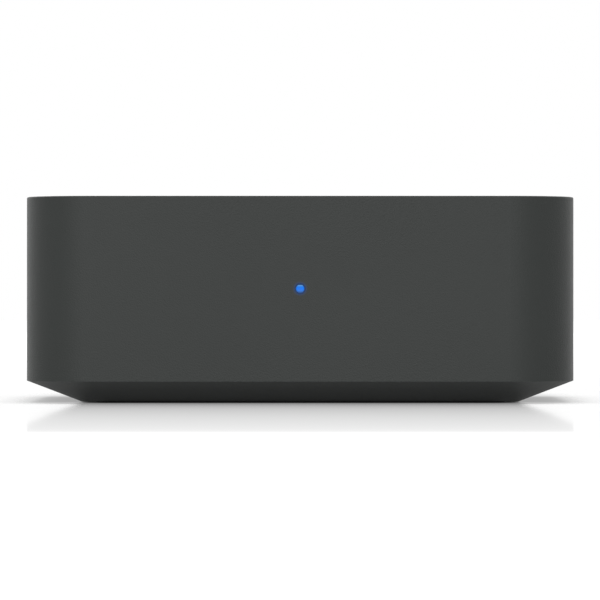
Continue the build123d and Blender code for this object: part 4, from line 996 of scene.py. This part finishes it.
# Foot: a die-cut sheet of black rubber, stuck into the tray's recess. It is
# matt, dusty in its pores and a little paler where it rubs on a shelf.
black_rubber, rubbed_rubber = (0.030, 0.030, 0.031, 1.0), (0.050, 0.050, 0.050, 1.0)
dust = (0.070, 0.069, 0.066, 1.0)
foot_rubber, spot = begin("foot_rubber")
fine = spot.grain(3400.0, detail=3.0, roughness=0.65)
rubbed = spot.grain(45.0, detail=5.0, roughness=0.6).step(0.48, 0.72)
pores = spot.cells(1900.0)
surface(
    spot,
    Base_Color=fine.step(0.60, 0.72).between(rubbed.between(black_rubber, rubbed_rubber), dust),
    Roughness=0.78 + 0.12 * fine,
    Specular_IOR_Level=0.25,
    Normal=spot.bump(pores * 0.5 + fine * 0.5, distance=0.00006, strength=0.7),
)
dress(foot_rubber, "foot_pad")

# Studio: a white floor that mirrors the box a little near its walls, with a soft
# shadow under it that is partly rendered and partly painted into its glow, plain
# white all round, and broad soft lamps.
white_floor, spot = begin("studio_floor")
x, y, z = spot.parts()
corner_place, corner_round = 0.0425, 0.0200


def past_corner(part):
    """How far a coordinate lies past the start of the corner's round, or 0."""
    return part.math("MAXIMUM", part.math("ABSOLUTE", part) - corner_place, 0.0)


side_way, front_way = past_corner(x), past_corner(y)
beyond = x.math("SQRT", side_way * side_way + front_way * front_way) - corner_round


def along_floor(start, end, stops):
    """A value that changes with the distance, in millimetres, from the walls."""
    places = [((s - start) / (end - start), (v, v, v)) for s, v in stops]
    place = (beyond - start / 1000.0) * (1000.0 / (end - start))
    return spot.make("ValToRGB", {"stops": places}, Fac=place)


def seen_by(tree):
    """1 for the camera's rays, and 1 for those and for mirrored and clear ones."""
    path = tree.nodes.new("ShaderNodeLightPath")
    camera_ray, mirrored_ray, clear_ray = (
        Wire(path.outputs[f"Is {kind} Ray"]) for kind in ("Camera", "Glossy", "Transmission")
    )
    return camera_ray, (camera_ray + mirrored_ray + clear_ray).step(0.0, 0.5)


shine = along_floor(-1, 220, (
    (0, 0.10), (4, 0.55), (14, 0.59), (23.5, 0.53), (41.6, 0.456), (59.5, 0.408),
    (76.3, 0.373), (109, 0.308), (139, 0.263), (167.4, 0.224), (194, 0.182),
    (206.5, 0.135), (212.8, 0.13), (213.2, 0.0),
))
full_glow = 0.875
# Painted shadow: the floor's glow is low near and under the box and full further out.
painted_shadow_ramp = along_floor(-16, 30, (
    (-14, 0.016), (-12.6, 0.05), (-11.6, 0.29), (-10, 0.31), (-6.7, 0.33), (-4.3, 0.35),
    (-2, 0.40), (0.3, 0.565), (2.65, 0.57), (5, 0.63), (7.3, 0.75), (11, 0.83), (16, 0.86),
    (24, full_glow),
))

# Painted shadow: the floor's glow is painted darker near the walls and deepest
# along the foot's front edge, and painted whiter at the box's sides, towards the
# back and beside the foot. What the floor throws back at the box is set apart
# from what shows of it, and is painted darker under the box as shade.
painted_contact_depth, painted_whiter_behind, painted_whiter_before, far_glow = 0.33, 0.85, 0.22, 0.14
painted_shade_bounce, open_bounce, shown_bounce, mirror_gain = 0.12, 0.66, 0.25, 1.11
forward, squared = 0.0 - y, x * x
beside_foot = squared.step(0.0485 ** 2, 0.0525 ** 2)
at_sides = squared.step(0.044 ** 2, 0.056 ** 2)
# Painted contact shadow along the foot's front edge, then painted light at the sides.
contact = forward.step(0.043, 0.053) * (1.0 - beyond.step(-0.001, 0.009)) * (1.0 - beside_foot)
painted_light_behind = painted_whiter_behind * y.step(0.002, 0.042) * at_sides
painted_light_before = painted_whiter_before * forward.step(0.0345, 0.0455) * beside_foot
painted_light_side = (painted_light_behind + painted_light_before) * beyond.step(-0.0126, -0.0116)
glow_with_painted_shade = (painted_shadow_ramp + (full_glow - painted_shadow_ramp) * painted_light_side) * (1.0 - painted_contact_depth * contact)
camera_ray, straight = seen_by(white_floor.node_tree)
# Painted shade: the colour the floor throws back at the box is darker under the box.
bounce_with_painted_shade = painted_shade_bounce + open_bounce * beyond.step(-0.015, 0.001)
pale = spot.make(
    "BsdfDiffuse", None, Color=bounce_with_painted_shade * (1.0 - straight) + shown_bounce * straight
)
shown_glow = spot.make(
    "Emission", None, Strength=1.0,
    Color=(glow_with_painted_shade + far_glow * beyond.step(0.15, 0.90)) * straight,
)
ground = spot.make("AddShader", None, _0=pale, _1=shown_glow)
mirror = spot.make("BsdfGlossy", None, Color=(1.0, 1.0, 1.0, 1.0), Roughness=0.05)
grazing = spot.make("Fresnel", None, IOR=1.5) * mirror_gain
shown = spot.make(
    "MixShader", None, _0=camera_ray * shine * grazing, _1=ground, _2=mirror,
)
spot.make("OutputMaterial", None, Surface=shown)
only(None)
bpy.ops.mesh.primitive_plane_add(size=8.0, location=(0, 0, 0))
floor = bpy.context.object
floor.name = "floor"
floor.data.materials.append(white_floor)

studio = bpy.data.worlds.new("studio")
bpy.context.scene.world = studio
studio.use_nodes = True
studio.node_tree.nodes.clear()
straight, light = seen_by(studio.node_tree)[1], 0.20
white = straight.make(
    "Background", None, Color=(1.0, 1.0, 1.0, 1.0), Strength=light + (1.0 - light) * straight
)
straight.make("OutputWorld", None, Surface=white)


def lamp(name, place, width, height, power):
    """A plain soft lamp of that size in metres and power in watts, aimed at the box."""
    data = bpy.data.lights.new(name, "AREA")
    data.shape = "RECTANGLE"
    data.size, data.size_y = width, height
    data.energy = power
    made = bpy.data.objects.new(name, data)
    bpy.context.scene.collection.objects.link(made)
    made.location = place
    aim = Vector((0, 0, 0.02)) - Vector(place)
    made.rotation_euler = aim.to_track_quat("-Z", "Y").to_euler()


lamp("front_lamp", (-0.30, -2.2, 0.55), width=1.4, height=0.9, power=20.8)
lamp("back_left_lamp", (-1.35, 1.6, 0.6), width=1.0, height=0.8, power=3.2)
lamp("back_right_lamp", (1.35, 1.6, 0.6), width=1.0, height=0.8, power=1.0)
lamp("top_lamp", (0, 0, 1.8), width=1.4, height=1.4, power=8.0)
lamp("back_lamp", (0, 2.1, 0.55), width=1.2, height=0.8, power=7.0)

# Camera: a long lens, level with the middle of the box and far in front of it,
# so that the front shows almost flat and neither the roof nor the sides do.
camera_data = bpy.data.cameras.new("camera")
camera_data.sensor_width, camera_data.lens = 36.0, 271.17
camera = bpy.data.objects.new("camera", camera_data)
bpy.context.scene.collection.objects.link(camera)
distance = 1.0815
camera.location = (-0.00004, -distance, case_high.z / 2)
camera.rotation_euler = (pi / 2, 0, 0)
bpy.context.scene.camera = camera
bpy.context.scene.view_settings.view_transform = "Standard"
